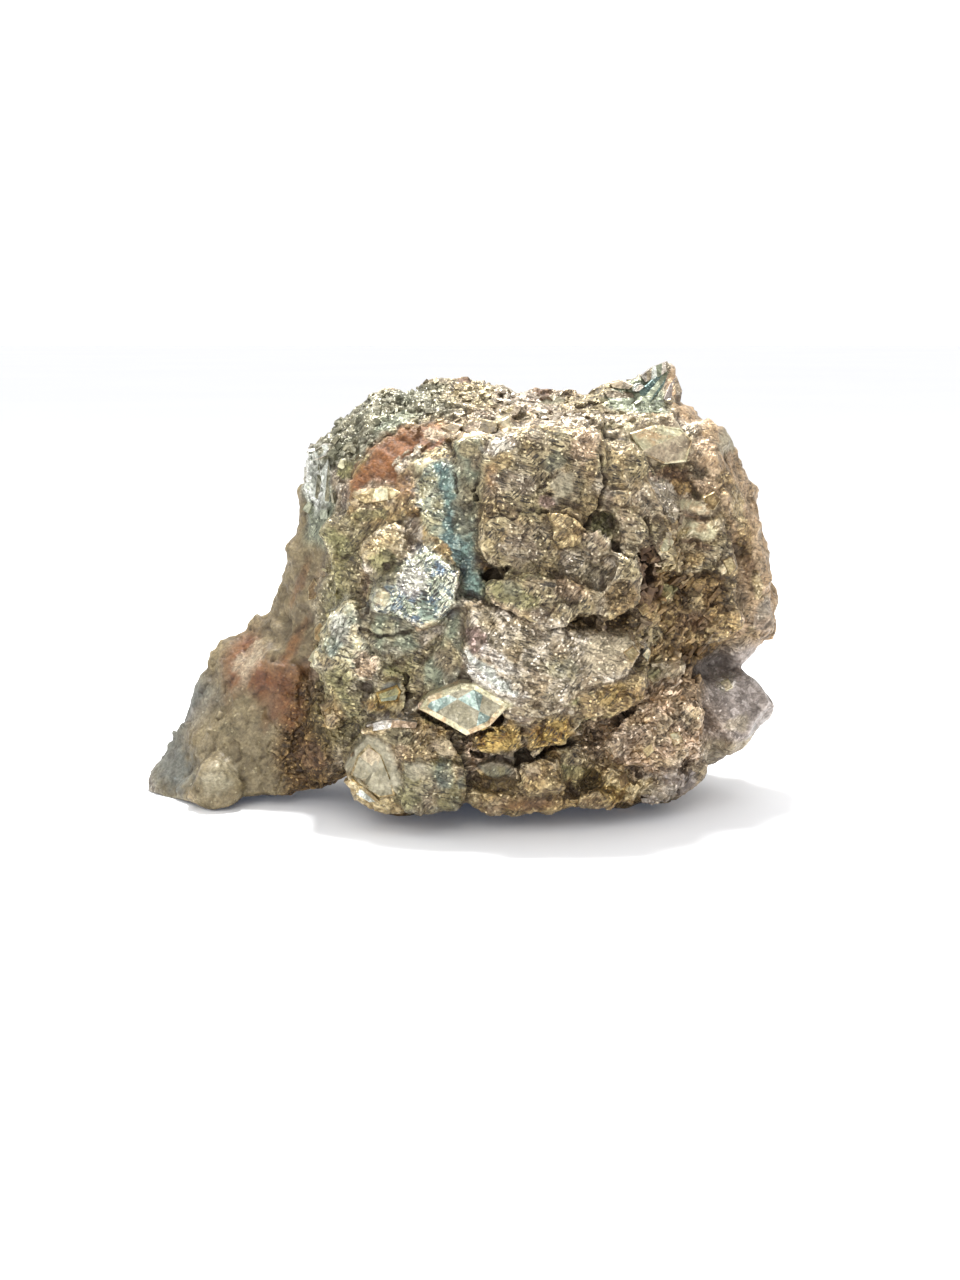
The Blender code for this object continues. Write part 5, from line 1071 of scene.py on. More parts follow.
@dataclass
class StoneSkin:
    """The whole surface of the specimen, as one closed piece. Lengths are millimetres."""

    name: str = "stone_skin"
    step: float = 0.28
    quick_step: float = 0.5
    triangles: int = 196000
    quick_triangles: int = 90000
    inset: float = 0.35
    resting_height: float = 1.5
    plate_thickness: float = 8.0
    plate_steps: tuple[float, ...] = (0.9, 0.7, 0.4)
    plate_shoulder: float = 3.0
    closed_gap: float = 0.55
    fill_rounds: int = 14
    filled: float = 0.42
    seam_depth: float = 0.28
    block_size: float = 2.3
    facet_size: float = 3.6
    hackle_size: float = 1.4
    chip_size: float = 0.7
    swell_size: float = 3.2
    pit_size: float = 0.8
    worn_size: float = 2.2
    back_relief: float = 0.85
    back_level: float = 0.35
    back_size: float = 5.5
    back_ridges: float = 0.28
    back_ridge_size: float = 4.5
    foot: tuple[float, float] = (0.1, 1.2)
    bands: int = 5
    front_weight: float = 0.2
    band_weight: float = 0.1
    # Hollows get painted crevice shade and dirt, raised places painted highlights, broad forms painted shade
    # and light
    fine_hollow: tuple[float, float] = (0.04, 0.22)
    fine_raise: tuple[float, float] = (0.03, 0.16)
    coarse_hollow: tuple[float, float] = (0.2, 1.0)
    coarse_raise: tuple[float, float] = (0.15, 0.7)
    broad_hollow: tuple[float, float] = (0.05, 1.1)
    broad_raise: tuple[float, float] = (0.1, 1.0)
    cracked: tuple[float, float] = (0.1, 0.8)
    form_rounds: int = 40
    painted_hollow_shade: float = 0.42
    painted_bump_light: float = 0.14

    def build(self, material: bpy.types.Material) -> bpy.types.Object:
        """Grow the skin and dress it.

        Args:
            material: the stone's material.

        Returns:
            The skin's object.
        """
        obj = made_object(self.name, self._body())
        mesh = self._fused(obj)
        for offset in (self.closed_gap, -self.closed_gap):
            points, normals = surface_of(mesh)
            move_to(mesh, points + offset * normals)
            if offset > 0.0:
                mesh = self._fused(obj)
        self._fill_gaps(mesh)
        self._break_up(mesh)
        self._thin(obj, mesh)
        mesh = with_modifiers(obj)
        self._dress(mesh)
        finish_piece(obj, material, stands_for=True)
        return obj

    def _fused(self, obj: bpy.types.Object) -> bpy.types.Mesh:
        """Turn all shells of the object into one even surface."""
        fuse = obj.modifiers.new("fuse", "REMESH")
        fuse.mode = "VOXEL"
        fuse.voxel_size = MM * self.step
        even = obj.modifiers.new("even", "SMOOTH")
        even.factor = 0.5
        even.iterations = 1
        return with_modifiers(obj)

    def _body(self) -> bpy.types.Mesh:
        """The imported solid, a little smaller, with the plates of the front laid over it."""
        body = bmesh.new()
        body.from_mesh(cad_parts[NODE].data)
        bmesh.ops.remove_doubles(body, verts=body.verts, dist=1e-6)
        body.normal_update()
        low = self.resting_height * MM
        for vert in body.verts:
            vert.co -= vert.normal * self.inset * MM * min(1.0, max(0.0, vert.co.z / low - 1.0))
        for plate in PLATES:
            self._add_plate(body, plate)
        mesh = bpy.data.meshes.new(self.name)
        body.to_mesh(mesh)
        body.free()
        return mesh

    def _add_plate(self, body: bmesh.types.BMesh, plate: Plate) -> None:
        """Add a domed plate that reaches back into the solid."""
        shape = bmesh.new()
        face = outline_face(shape, plate.outline, plate.depth + self.plate_thickness)
        face = extrude_to(shape, face, Matrix.Translation((0.0, -self.plate_thickness, 0.0)), keep_base=True)
        share_before, rise_before = 1.0, 0.0
        for share in self.plate_steps:
            rise = plate.dome * (1.0 - share**self.plate_shoulder) ** (1.0 / self.plate_shoulder)
            step = shrunk_about(plate.centre, share / share_before)
            face = extrude_to(shape, face, Matrix.Translation((0.0, rise_before - rise, 0.0)) @ step)
            share_before, rise_before = share, rise
        lean = Matrix.Identity(4)
        lean[1][0], lean[1][2] = plate.lean
        add_shape(body, shape, Matrix.Translation(plate.centre) @ lean @ Matrix.Translation(-plate.centre))

    def _fill_gaps(self, mesh: bpy.types.Mesh) -> None:
        """Fill the gaps between the plates most of the way, as grown-together crystals do."""
        points, normals = surface_of(mesh)
        hollow = hollows_of(mesh, self.fill_rounds // (1))
        move_to(mesh, points + normals * (self.filled * np.maximum(hollow, 0.0))[:, None])

    def _break_up(self, mesh: bpy.types.Mesh) -> None:
        """Break the smooth surface into hackles, chips, scales and cracks."""
        points, normals = surface_of(mesh)
        look = LookMap(points, normals)
        heights = look.part("relief")
        bent = warped(points, 1.5, 0.4, 3.0)
        rise = heights[:, 0] * facets_at(bent, self.block_size, 3.0, blocky=True)
        rise += heights[:, 1] * facets_at(bent, self.facet_size, 7.0)
        rise += heights[:, 2] * hackles_at(points, self.hackle_size, 13.0)
        rise += heights[:, 3] * facets_at(points, self.chip_size, 11.0)
        rise += heights[:, 4] * noise_at(points, self.swell_size, 17.0)
        rise -= heights[:, 5] * eased(noise_at(points, self.pit_size, 19.0), 0.2, 0.45)
        worn_seams = eased(noise_at(points, self.worn_size, 23.0), -0.35, 0.15)
        rise -= np.maximum(self.seam_depth * worn_seams * look.part("seam")[:, 0], crack_depths(points))
        behind = eased(normals[:, 1] + 0.04 * points[:, 1], 0.0, 0.6)
        blocks = facets_at(bent, self.back_size, 29.0, blocky=True) - self.back_level
        rise += self.back_relief * behind * blocks
        rise += self.back_ridges * behind * hackles_at(points, self.back_ridge_size, 37.0)
        rise *= eased(points[:, 2] - TABLE_ORIGIN[2], *self.foot)
        moved = points + normals * rise[:, None]
        moved[:, 2] = np.maximum(moved[:, 2], TABLE_ORIGIN[2])
        move_to(mesh, moved)

    def _thin(self, obj: bpy.types.Object, mesh: bpy.types.Mesh) -> None:
        """Set the skin to be thinned, the back more than the front."""
        points, normals = surface_of(mesh)
        group = obj.vertex_groups.new(name="detail")
        back = eased(normals[:, 1] + 0.03 * (points[:, 1] + 8.0), -0.1, 0.5)
        bands = (back * (self.bands - 0.001)).astype(int)
        for band in range(self.bands):
            rows = np.flatnonzero(bands == band)
            group.add(rows.tolist(), self.front_weight + self.band_weight * band, "REPLACE")
        wanted = self.triangles
        present = sum(len(face.vertices) - 2 for face in mesh.polygons)
        thin = obj.modifiers.new("thin", "DECIMATE")
        thin.ratio = min(1.0, wanted / present)
        thin.vertex_group = group.name
        thin.vertex_group_factor = 2.0
        thin.use_collapse_triangulate = True

    def _dress(self, mesh: bpy.types.Mesh) -> None:
        """Store the look of the surface, painted shade and highlights too, and shade its smooth stone softly.
        """
        points, normals = surface_of(mesh)
        look = LookMap(points, normals)
        fine, coarse = hollows_of(mesh, 2), hollows_of(mesh, 10)
        broad = hollows_of(mesh, self.form_rounds)
        # Painted crevice shade and dirt: the colour darkens in fine and coarse hollows, along cracks and at
        # seams
        hollow = np.maximum(eased(fine, *self.fine_hollow), 0.8 * eased(coarse, *self.coarse_hollow))
        hollow = np.maximum(hollow, eased(crack_depths(points), *self.cracked))
        hollow = np.maximum(hollow, 0.4 * look.part("seam")[:, 0] * eased(fine, -0.05, 0.1))
        # Raised places take the gleam colour in the material: edge wear and painted edge highlights
        raised = np.maximum(eased(-fine, *self.fine_raise), 0.7 * eased(-coarse, *self.coarse_raise))
        # Painted shade in broad hollows and painted light on broad bumps, multiplied into the colours
        painted_shade_and_light = 1.0 - self.painted_hollow_shade * eased(broad, *self.broad_hollow)
        painted_shade_and_light += self.painted_bump_light * eased(-broad, *self.broad_raise)
        for part in ("body", "mottle", "gleam"):
            look.part(part)[:] *= painted_shade_and_light[:, None]
        heights = look.part("relief")
        shade_and_wear = np.stack((hollow, raised, look.part("strokes")[:, 0], look.part("grain")[:, 0]), axis=1)
        write_look(mesh, look.rows, shade_and_wear)
        corners = np.empty(len(mesh.loops), np.int32)
        mesh.loops.foreach_get("vertex_index", corners)
        broken = heights[:, :4].sum(axis=1)
        rough = broken[corners.reshape(-1, 3)].mean(axis=1) > SHARP_FROM
        mesh.polygons.foreach_set("use_smooth", ~rough)
        mesh.update()


@dataclass(frozen=True)
class GrainBed:
    """An area strewn with broken crystals that are grown into the surface. Lengths are millimetres."""

    name: str
    seed: int
    at: Point
    reach: Point
    count: int
    wide: tuple[float, float]
    slim: tuple[float, float] = (0.4, 0.9)
    thick: tuple[float, float] = (0.3, 0.6)
    run: float = 20.0
    spread: float = 60.0
    lean: float = 25.0
    out: float = 0.15
    # The share of grains painted in the gleam colour as highlights, and how strongly
    bright: float = 0.25
    levels: tuple[float, float] = (0.75, 1.3)
    shine: float = 0.8
    strokes: float = 0.5
    grain: float = 0.12
    lowest: float = 2.0

    def build(self, skin: bpy.types.Mesh, shapes: list[bpy.types.Mesh], material: bpy.types.Material) -> None:
        """Strew the crystals over the skin, as one piece.

        Args:
            skin: the specimen's skin.
            shapes: the shapes that the crystals take, one unit wide.
            material: the stone's material.
        """
        draw = random.Random(self.seed)
        seats, facings = self._seats(skin, draw)
        look = LookMap(seats, facings)
        body = bmesh.new()
        owners = []
        for number, (seat, facing) in enumerate(zip(seats, facings)):
            crystal = bmesh.new()
            crystal.from_mesh(shapes[draw.randrange(len(shapes))])
            owners += [number] * len(crystal.verts)
            add_shape(body, crystal, self._place(Vector(seat.tolist()), Vector(facing.tolist()), draw))
        mesh = bpy.data.meshes.new(self.name)
        body.to_mesh(mesh)
        body.free()
        levels = np.array([draw.uniform(*self.levels) for _ in seats])[:, None]
        # Bright grains take the gleam colour: painted highlights
        bright = np.array([draw.random() < self.bright for _ in seats])[:, None]
        look.part("body")[:] = np.where(bright, look.part("gleam") * self.shine, look.part("body")) * levels
        look.rows = look.rows[owners]
        shade_and_wear = np.zeros((len(owners), 4))
        shade_and_wear[:, 2] = self.strokes * look.part("strokes")[:, 0]
        shade_and_wear[:, 3] = self.grain
        write_look(mesh, look.rows, shade_and_wear)
        finish_piece(made_object(self.name, mesh), material)

    def _place(self, seat: Vector, facing: Vector, draw: random.Random) -> Matrix:
        """The size, turn and place of one crystal, as a matrix in table millimetres."""
        size = draw.uniform(*self.wide)
        sizes = (size, size * draw.uniform(*self.slim), size * draw.uniform(*self.thick))
        stray = Vector([draw.uniform(-1.0, 1.0) for _ in range(3)])
        tilt = (facing + math.tan(math.radians(self.lean)) * stray).normalized()
        run = math.radians(self.run + draw.uniform(-self.spread, self.spread))
        side = tilt.cross(Vector((math.cos(run), 0.0, math.sin(run)))).normalized()
        turn = Matrix((side.cross(tilt), side, tilt)).transposed().to_4x4()
        out = self.out * size * draw.uniform(-0.5, 1.0)
        return Matrix.Translation(seat + facing * out) @ turn @ Matrix.Diagonal((*sizes, 1.0))

    def _seats(self, skin: bpy.types.Mesh, draw: random.Random) -> tuple[np.ndarray, np.ndarray]:
        """Places on the skin inside the area, and the skin's directions there."""
        points, normals = surface_of(skin)
        away = np.linalg.norm((points - np.array(self.at)) / np.array(self.reach), axis=1)
        inside = np.flatnonzero((away < 1.0) & (points[:, 2] > self.lowest))
        picked = np.array(draw.sample(inside.tolist(), min(self.count, len(inside))))
        return points[picked], normals[picked]


# A crystal is seated on the skin that lies behind it: places between its middle and each corner are
# looked at from in front, and its plane lies at the depth that this percentage of them is in front of
SEAT_SHARES = (0.0, 0.5, 0.85)
IN_FRONT = -60.0
FEWEST_HITS = 4
SEAT_LEVEL = 35.0


@dataclass(frozen=True)
class Crystal:
    """A sharp crystal that stands out of the skin: an outline in x and z whose front is cut into flats.

    The first tone is the rim's and the flats take the others in turn. Lengths are millimetres.
    """

    name: str
    tones: tuple[Tone, ...]
    outline: Outline
    cuts: tuple[tuple[float, float, float], ...] = ()
    rim: float = 0.0
    relief: float = 0.25
    proud: float = 0.3
    thickness: float = 2.0
    bevel: float = 0.1
    steepest: float = 0.7
    levels: tuple[float, float] = (0.82, 1.2)
    strokes: float = 0.6
    grain: float = 0.3

    def build(self, skin: BVHTree, material: bpy.types.Material) -> None:
        """Cut the crystal and seat it on the skin.

        Args:
            skin: the specimen's skin, to seat it on.
            material: the stone's material.
        """
        draw = random.Random(self.name)
        depth, lean = self._seat(skin)
        body = bmesh.new()
        part = body.faces.layers.int.new("part")
        face = outline_face(body, self.outline, self.thickness)
        front = extrude_to(body, face, Matrix.Translation((0.0, -self.thickness, 0.0)), keep_base=True)
        edges = list(front.edges)
        if self.rim:
            bmesh.ops.inset_region(body, faces=[front], thickness=self.rim, use_even_offset=True)
        flats = self._cut(body, front)
        for number, flat in enumerate(flats):
            flat[part] = 1 + number
        for vert in sorted({vert for flat in flats for vert in flat.verts}, key=lambda vert: vert.index):
            vert.co.y += self.relief * draw.uniform(-1.0, 1.0)
        bmesh.ops.bevel(
            body, geom=edges, offset=self.bevel, offset_type="OFFSET", segments=1, profile=0.5,
            affect="EDGES", material=-1, clamp_overlap=True,
        )
        bmesh.ops.triangulate(body, faces=body.faces[:])
        place = Matrix.Translation((0.0, depth, 0.0))
        place[1][0], place[1][2] = lean
        bmesh.ops.transform(body, matrix=place, verts=body.verts)
        bmesh.ops.transform(body, matrix=TABLE_TO_SCENE, verts=body.verts)
        bmesh.ops.recalc_face_normals(body, faces=body.faces)
        parts = np.array([face[part] for face in body.faces])
        mesh = bpy.data.meshes.new(self.name)
        body.to_mesh(mesh)
        body.free()
        self._dress(mesh, parts, draw)
        finish_piece(made_object(self.name, mesh), material)

    def _seat(self, skin: BVHTree) -> tuple[float, tuple[float, float]]:
        """The depth at x = z = 0 and the lean of a plane that lies just in front of the skin."""
        x, z = (np.array(values) for values in zip(*self.outline))
        centre = (x.mean(), z.mean())
        hits = []
        for corner in self.outline:
            for share in SEAT_SHARES:
                spot = np.array(centre) + (np.array(corner) - np.array(centre)) * share
                start = (Vector((spot[0], IN_FRONT, spot[1])) - Vector(TABLE_ORIGIN)) * MM
                hit = skin.ray_cast(start, Vector((0.0, 1.0, 0.0)))[0]
                if hit is not None:
                    hits.append(np.array(hit) / MM + TABLE_ORIGIN)
        if len(hits) < FEWEST_HITS:
            raise ValueError(f"{self.name} has no skin behind it")
        found = np.array(hits)
        table = np.column_stack((found[:, 0] - centre[0], found[:, 2] - centre[1], np.ones(len(found))))
        lean_x, lean_z, _level = np.linalg.lstsq(table, found[:, 1], rcond=None)[0]
        lean = np.clip((lean_x, lean_z), -self.steepest, self.steepest)
        over = found[:, 1] - table[:, :2] @ lean
        depth = np.percentile(over, SEAT_LEVEL) - self.proud - lean @ np.array(centre)
        return float(depth), (float(lean[0]), float(lean[1]))

    def _cut(self, body: bmesh.types.BMesh, front: bmesh.types.BMFace) -> list[bmesh.types.BMFace]:
        """Cut the front into flats along lines through places, each at its angle in degrees."""
        flats = [front]
        for x, z, angle in self.cuts:
            turn = math.radians(angle)
            geom = set(flats)
            for flat in flats:
                geom |= set(flat.verts) | set(flat.edges)
            found = bmesh.ops.bisect_plane(
                body, geom=list(geom), plane_co=(x, 0.0, z), plane_no=(-math.sin(turn), 0.0, math.cos(turn))
            )
            flats = [item for item in found["geom"] if isinstance(item, bmesh.types.BMFace)]
        body.verts.index_update()
        return sorted(flats, key=lambda flat: tuple(flat.calc_center_median()))

    def _dress(self, mesh: bpy.types.Mesh, parts: np.ndarray, draw: random.Random) -> None:
        """Give the rim and each flat a finish."""
        inner = self.tones[1:] or self.tones
        tones = [self.tones[0]] + [inner[number % len(inner)] for number in range(parts.max())]
        table = np.array([finish_row(tone) for tone in tones])
        for row in table:
            row[ROW_PARTS["body"]] *= draw.uniform(*self.levels)
        rows = np.repeat(table[parts], 3, axis=0)
        shade_and_wear = np.zeros((len(rows), 4))
        shade_and_wear[:, 2] = self.strokes * rows[:, ROW_PARTS["strokes"]][:, 0]
        shade_and_wear[:, 3] = self.grain
        write_look(mesh, rows, shade_and_wear, "CORNER")


# How often a broken crystal's cube is cut, and how far from its middle
CRYSTAL_CUTS = 3
CUT_AT = (0.3, 0.5)


def broken_crystals(count: int, seed: int) -> list[bpy.types.Mesh]:
    """Shapes of broken crystals: cubes one unit wide with some corners and edges broken off."""
    draw = random.Random(seed)
    shapes = []
    for number in range(count):
        body = bmesh.new()
        bmesh.ops.create_cube(body, size=1.0)
        for _cut in range(CRYSTAL_CUTS):
            facing = Vector([draw.uniform(-1.0, 1.0) for _ in range(3)]).normalized()
            cut = bmesh.ops.bisect_plane(
                body, geom=body.verts[:] + body.edges[:] + body.faces[:],
                plane_co=facing * draw.uniform(*CUT_AT), plane_no=facing, clear_outer=True,
            )
            rim = [item for item in cut["geom_cut"] if isinstance(item, bmesh.types.BMEdge)]
            bmesh.ops.holes_fill(body, edges=rim, sides=0)
        bmesh.ops.recalc_face_normals(body, faces=body.faces)
        mesh = bpy.data.meshes.new(f"crystal_{number}")
        body.to_mesh(mesh)
        body.free()
        shapes.append(mesh)
    return shapes


def crack_depths(points: np.ndarray) -> np.ndarray:
    """How deep the cracks cut in at each point, in millimetres."""
    near = warped(points, *CRACK_BEND)
    depth = np.zeros(len(points))
    for crack in CRACKS:
        low = np.min(crack.points, axis=0) - CRACK_MARGIN
        high = np.max(crack.points, axis=0) + CRACK_MARGIN
        where = np.flatnonzero(np.all((near > low) & (near < high), axis=1))
        away, behind = distance_to_run(crack.points, near[where])
        side = eased(-away, -0.8 * crack.width, -0.2 * crack.width)
        cut = crack.depth * side * (np.abs(behind) < CRACK_REACH)
        depth[where] = np.maximum(depth[where], cut)
    return depth


class Graph:
    """Places shader nodes in a tree and joins them up."""

    def __init__(self, tree: bpy.types.NodeTree) -> None:
        """Start on a tree."""
        self.tree = tree

    def node(self, kind: str, inputs: dict[str | int, object], **settings: object) -> bpy.types.Node:
        """Place a node.

        Args:
            kind: the node's type.
            inputs: a value or an output socket for each input, by its name or place.
            settings: the node's own settings.

        Returns:
            The node.
        """
        node = self.tree.nodes.new(kind)
        for setting, value in settings.items():
            setattr(node, setting, value)
        for key, value in inputs.items():
            if isinstance(value, bpy.types.NodeSocket):
                self.tree.links.new(value, node.inputs[key])
            else:
                node.inputs[key].default_value = value
        return node

    def math(self, operation: str, *values: object, clamp: bool = False) -> bpy.types.NodeSocket:
        """The result of a sum on numbers."""
        inputs = dict(enumerate(values))
        return self.node("ShaderNodeMath", inputs, operation=operation, use_clamp=clamp).outputs[0]

    def times(self, first: object, second: object, clamp: bool = False) -> bpy.types.NodeSocket:
        """The product of two numbers."""
        return self.math("MULTIPLY", first, second, clamp=clamp)

    def ramp(self, value: object, low: float, high: float, top: float = 1.0) -> bpy.types.NodeSocket:
        """A number that rises smoothly from 0 to the top as the value goes from low to high."""
        inputs = {"Value": value, "From Min": low, "From Max": high, "To Max": top}
        return self.node("ShaderNodeMapRange", inputs, interpolation_type="SMOOTHSTEP").outputs[0]

    def mix(self, share: object, first: object, second: object, blend: str = "MIX") -> bpy.types.NodeSocket:
        """A colour between two, or one laid over the other."""
        inputs = {"Factor": share, 6: first, 7: second}
        return self.node("ShaderNodeMix", inputs, data_type="RGBA", blend_type=blend).outputs[2]

    def vector(self, operation: str, *values: object) -> bpy.types.NodeSocket:
        """The result of a sum on vectors."""
        return self.node("ShaderNodeVectorMath", dict(enumerate(values)), operation=operation).outputs[0]

    def turned(self, place: object, angle: float, sizes: tuple[float, ...]) -> bpy.types.NodeSocket:
        """Places turned about the depth axis and counted in sizes that are given in millimetres."""
        turn = (0.0, math.radians(angle), 0.0)
        inputs = {"Vector": place, "Rotation": turn, "Scale": [MM * size for size in sizes]}
        return self.node("ShaderNodeMapping", inputs, vector_type="TEXTURE").outputs[0]

    def noise(
        self, place: object, scale: object, detail: float, distortion: float = 0.0
    ) -> bpy.types.NodeSocket:
        """The value of a noise texture."""
        inputs = {"Vector": place, "Scale": scale, "Detail": detail, "Distortion": distortion}
        return self.node("ShaderNodeTexNoise", inputs).outputs[0]


def new_group(name: str, inputs: dict[str, str], outputs: dict[str, str]) -> tuple[Graph, bpy.types.Node]:
    """Start a node group.

    Args:
        name: the group's name.
        inputs: the kind of each input socket, by its name.
        outputs: the kind of each output socket, by its name.

    Returns:
        The group's graph and its input node.
    """
    tree = bpy.data.node_groups.new(name, "ShaderNodeTree")
    for way, sockets in (("INPUT", inputs), ("OUTPUT", outputs)):
        for socket, kind in sockets.items():
            tree.interface.new_socket(socket, in_out=way, socket_type=f"NodeSocket{kind}")
    return Graph(tree), tree.nodes.new("NodeGroupInput")


def per_mm(size: float) -> float:
    """The scale of a texture whose pattern has a size in millimetres."""
    return 1.0 / (size * MM)


def broken_faces_group() -> bpy.types.NodeTree:
    """Small flat faces that each tilt their own way, and a random number for each."""
    graph, inside = new_group("broken_faces", {"Place": "Vector"}, {"Height": "Float", "Random": "Float"})
    place = inside.outputs["Place"]
    cells = graph.node("ShaderNodeTexVoronoi", {"Vector": place, "Scale": 1.0})
    offset = graph.vector("SUBTRACT", place, cells.outputs["Position"])
    tilt = graph.vector("SUBTRACT", cells.outputs["Color"], (0.5, 0.5, 0.5))
    height = graph.node("ShaderNodeVectorMath", {0: offset, 1: tilt}, operation="DOT_PRODUCT")
    parts = graph.node("ShaderNodeSeparateColor", {0: cells.outputs["Color"]})
    graph.node("NodeGroupOutput", {"Height": height.outputs["Value"], "Random": parts.outputs[2]})
    return graph.tree


def hatching_group() -> bpy.types.NodeTree:
    """Short fine strokes that run one way here and another there: dark painted shadows, light painted
    highlights.
    """
    outputs = {"Height": "Float", "Dark": "Float", "Light": "Float"}
    graph, inside = new_group("hatching", {"Place": "Vector"}, outputs)
    place = inside.outputs["Place"]
    runs = []
    for angle, stretch in HATCHINGS:
        runs.append(graph.noise(graph.turned(place, angle, stretch), 1.0, 2.0, 0.5))
    choice = graph.ramp(graph.noise(place, per_mm(HATCHING_PATCH), 1.0), 0.47, 0.53)
    both = graph.node("ShaderNodeMix", {0: choice, 2: runs[0], 3: runs[1]}).outputs[0]
    dark, light = graph.ramp(both, *SHADOW_STROKES), graph.ramp(both, *HIGHLIGHT_STROKES)
    graph.node("NodeGroupOutput", {"Height": both, "Dark": dark, "Light": light})
    return graph.tree


@dataclass(frozen=True)
class StoneMaterial:
    """Tarnished pyrite and its stone; the surface's own attributes hold its finish, painted light and shade
    too.
    """

    name: str = "pyrite_stone"
    # The crevice colour paints shade and dirt into hollows, and the stroke colour paints hairline shadows
    crevice: Colour = shade(54, 39, 26)
    stroke_shadow_colour: Colour = shade(34, 28, 24)
    mottle_size: float = 2.2
    facet_angle: float = 32.0
    facet_size: tuple[float, ...] = (1.4, 1.0, 0.7)
    glint_size: tuple[float, ...] = (0.27, 0.27, 0.27)
    facet_height: float = 0.3
    glint_height: float = 0.18
    pore_size: float = 0.5
    pore_height: float = 0.08
    grain_size: float = 0.42
    grains: tuple[float, float] = (0.8, 1.16)
    # Painted facet shade and highlights, glints, edge highlights and light strokes
    dark_face: float = 0.45
    face_contrast: float = 0.7
    painted_lit_faces: float = 1.1
    glints: float = 0.2
    edge_wear_and_highlight: float = 1.2
    painted_highlight_strokes: float = 0.7
    stroke_height: float = 0.25
    crevice_shade_and_dirt: float = 0.72
    dull_roughness: float = 0.3
    glint_polish: float = 0.1

    def build(self) -> bpy.types.Material:
        """Make the material."""
        material = bpy.data.materials.new(self.name)
        material.use_nodes = True
        graph = Graph(material.node_tree)
        shader = material.node_tree.nodes["Principled BSDF"]
        place = graph.node("ShaderNodeTexCoord", {}).outputs["Object"]
        tint, mottle, gleam, shade_and_wear = (
            graph.node("ShaderNodeAttribute", {}, attribute_name=name)
            for name in ("tint", "mottle", "gleam", "shade_and_wear")
        )
        shade_and_wear_parts = graph.node("ShaderNodeSeparateColor", {0: shade_and_wear.outputs["Color"]})
        hollow, raised, stroked = shade_and_wear_parts.outputs[0], shade_and_wear_parts.outputs[1], shade_and_wear_parts.outputs[2]
        broken = shade_and_wear.outputs["Alpha"]
        faces = broken_faces_group()
        large, small = (graph.node("ShaderNodeGroup", {}, node_tree=faces) for _size in range(2))
        for node, angle, sizes in ((large, self.facet_angle, self.facet_size), (small, 0.0, self.glint_size)):
            graph.tree.links.new(graph.turned(place, angle, sizes), node.inputs["Place"])
        hatching = graph.node("ShaderNodeGroup", {}, node_tree=hatching_group())
        graph.tree.links.new(place, hatching.inputs["Place"])

        glitter = gleam.outputs["Alpha"]
        patches = graph.ramp(graph.noise(place, per_mm(self.mottle_size), 5.0, 0.6), 0.42, 0.6)
        colour = graph.mix(patches, tint.outputs["Color"], mottle.outputs["Color"])
        # Random faces darkened and lit: painted shade and painted highlights on facets
        chance = large.outputs["Random"]
        painted_face_shade = graph.mix(graph.ramp(chance, 0.0, 0.5), self._grey(self.dark_face), self._grey(1.0))
        colour = graph.mix(graph.times(broken, self.face_contrast), colour, painted_face_shade, "MULTIPLY")
        pale = graph.times(graph.ramp(chance, 0.78, 0.95), graph.times(glitter, self.painted_lit_faces), clamp=True)
        colour = graph.mix(pale, colour, gleam.outputs["Color"])
        # Rare glint cells and raised edges take the gleam colour: painted highlights and edge wear
        rare = graph.math("SUBTRACT", 1.0, graph.times(glitter, self.glints))
        glint = graph.math("GREATER_THAN", small.outputs["Random"], rare)
        glint = graph.times(glint, graph.math("SUBTRACT", broken, hollow, clamp=True), clamp=True)
        edges = graph.times(raised, graph.times(glitter, self.edge_wear_and_highlight), clamp=True)
        glint = graph.math("MAXIMUM", glint, edges)
        colour = graph.mix(glint, colour, gleam.outputs["Color"])
        # Light strokes are painted highlights and dark strokes painted hairline shadows
        bright = graph.times(hatching.outputs["Light"], graph.times(glitter, self.painted_highlight_strokes), clamp=True)
        colour = graph.mix(bright, colour, gleam.outputs["Color"])
        lines = graph.times(hatching.outputs["Dark"], stroked, clamp=True)
        colour = graph.mix(lines, colour, (*self.stroke_shadow_colour, 1.0))
        grains = graph.ramp(graph.noise(place, per_mm(self.grain_size), 3.0), 0.36, 0.62)
        grains = graph.mix(grains, *(self._grey(level) for level in self.grains))
        colour = graph.mix(1.0, colour, grains, "MULTIPLY")
        # Hollows, cracks and seams darken towards the crevice colour: painted shade and dirt
        crevice_shade_and_dirt = graph.times(hollow, self.crevice_shade_and_dirt)
        colour = graph.mix(crevice_shade_and_dirt, colour, (*self.crevice, 1.0))
        graph.tree.links.new(colour, shader.inputs["Base Color"])

        dull = graph.math("MAXIMUM", lines, crevice_shade_and_dirt)
        clean = graph.math("SUBTRACT", 1.0, dull, clamp=True)
        graph.tree.links.new(graph.times(tint.outputs["Alpha"], clean), shader.inputs["Metallic"])
        rough = graph.math("ADD", mottle.outputs["Alpha"], graph.times(dull, self.dull_roughness))
        rough = graph.math("SUBTRACT", rough, graph.times(glint, self.glint_polish))
        graph.tree.links.new(rough, shader.inputs["Roughness"])

        height = graph.times(large.outputs["Height"], self.facet_height)
        height = graph.math("ADD", height, graph.times(small.outputs["Height"], self.glint_height))
        pores = graph.times(graph.noise(place, per_mm(self.pore_size), 3.0), self.pore_height)
        height = graph.math("ADD", graph.times(height, broken), pores)
        hatched = graph.times(graph.math("SUBTRACT", 0.5, hatching.outputs["Height"]), self.stroke_height)
        height = graph.math("ADD", height, graph.times(hatched, stroked))
        bump = graph.node("ShaderNodeBump", {"Height": height, "Distance": MM, "Strength": 1.0})
        graph.tree.links.new(bump.outputs[0], shader.inputs["Normal"])
        return material

    @staticmethod
    def _grey(level: float) -> tuple[float, float, float, float]:
        """A grey as a colour socket takes it."""
        return (level, level, level, 1.0)


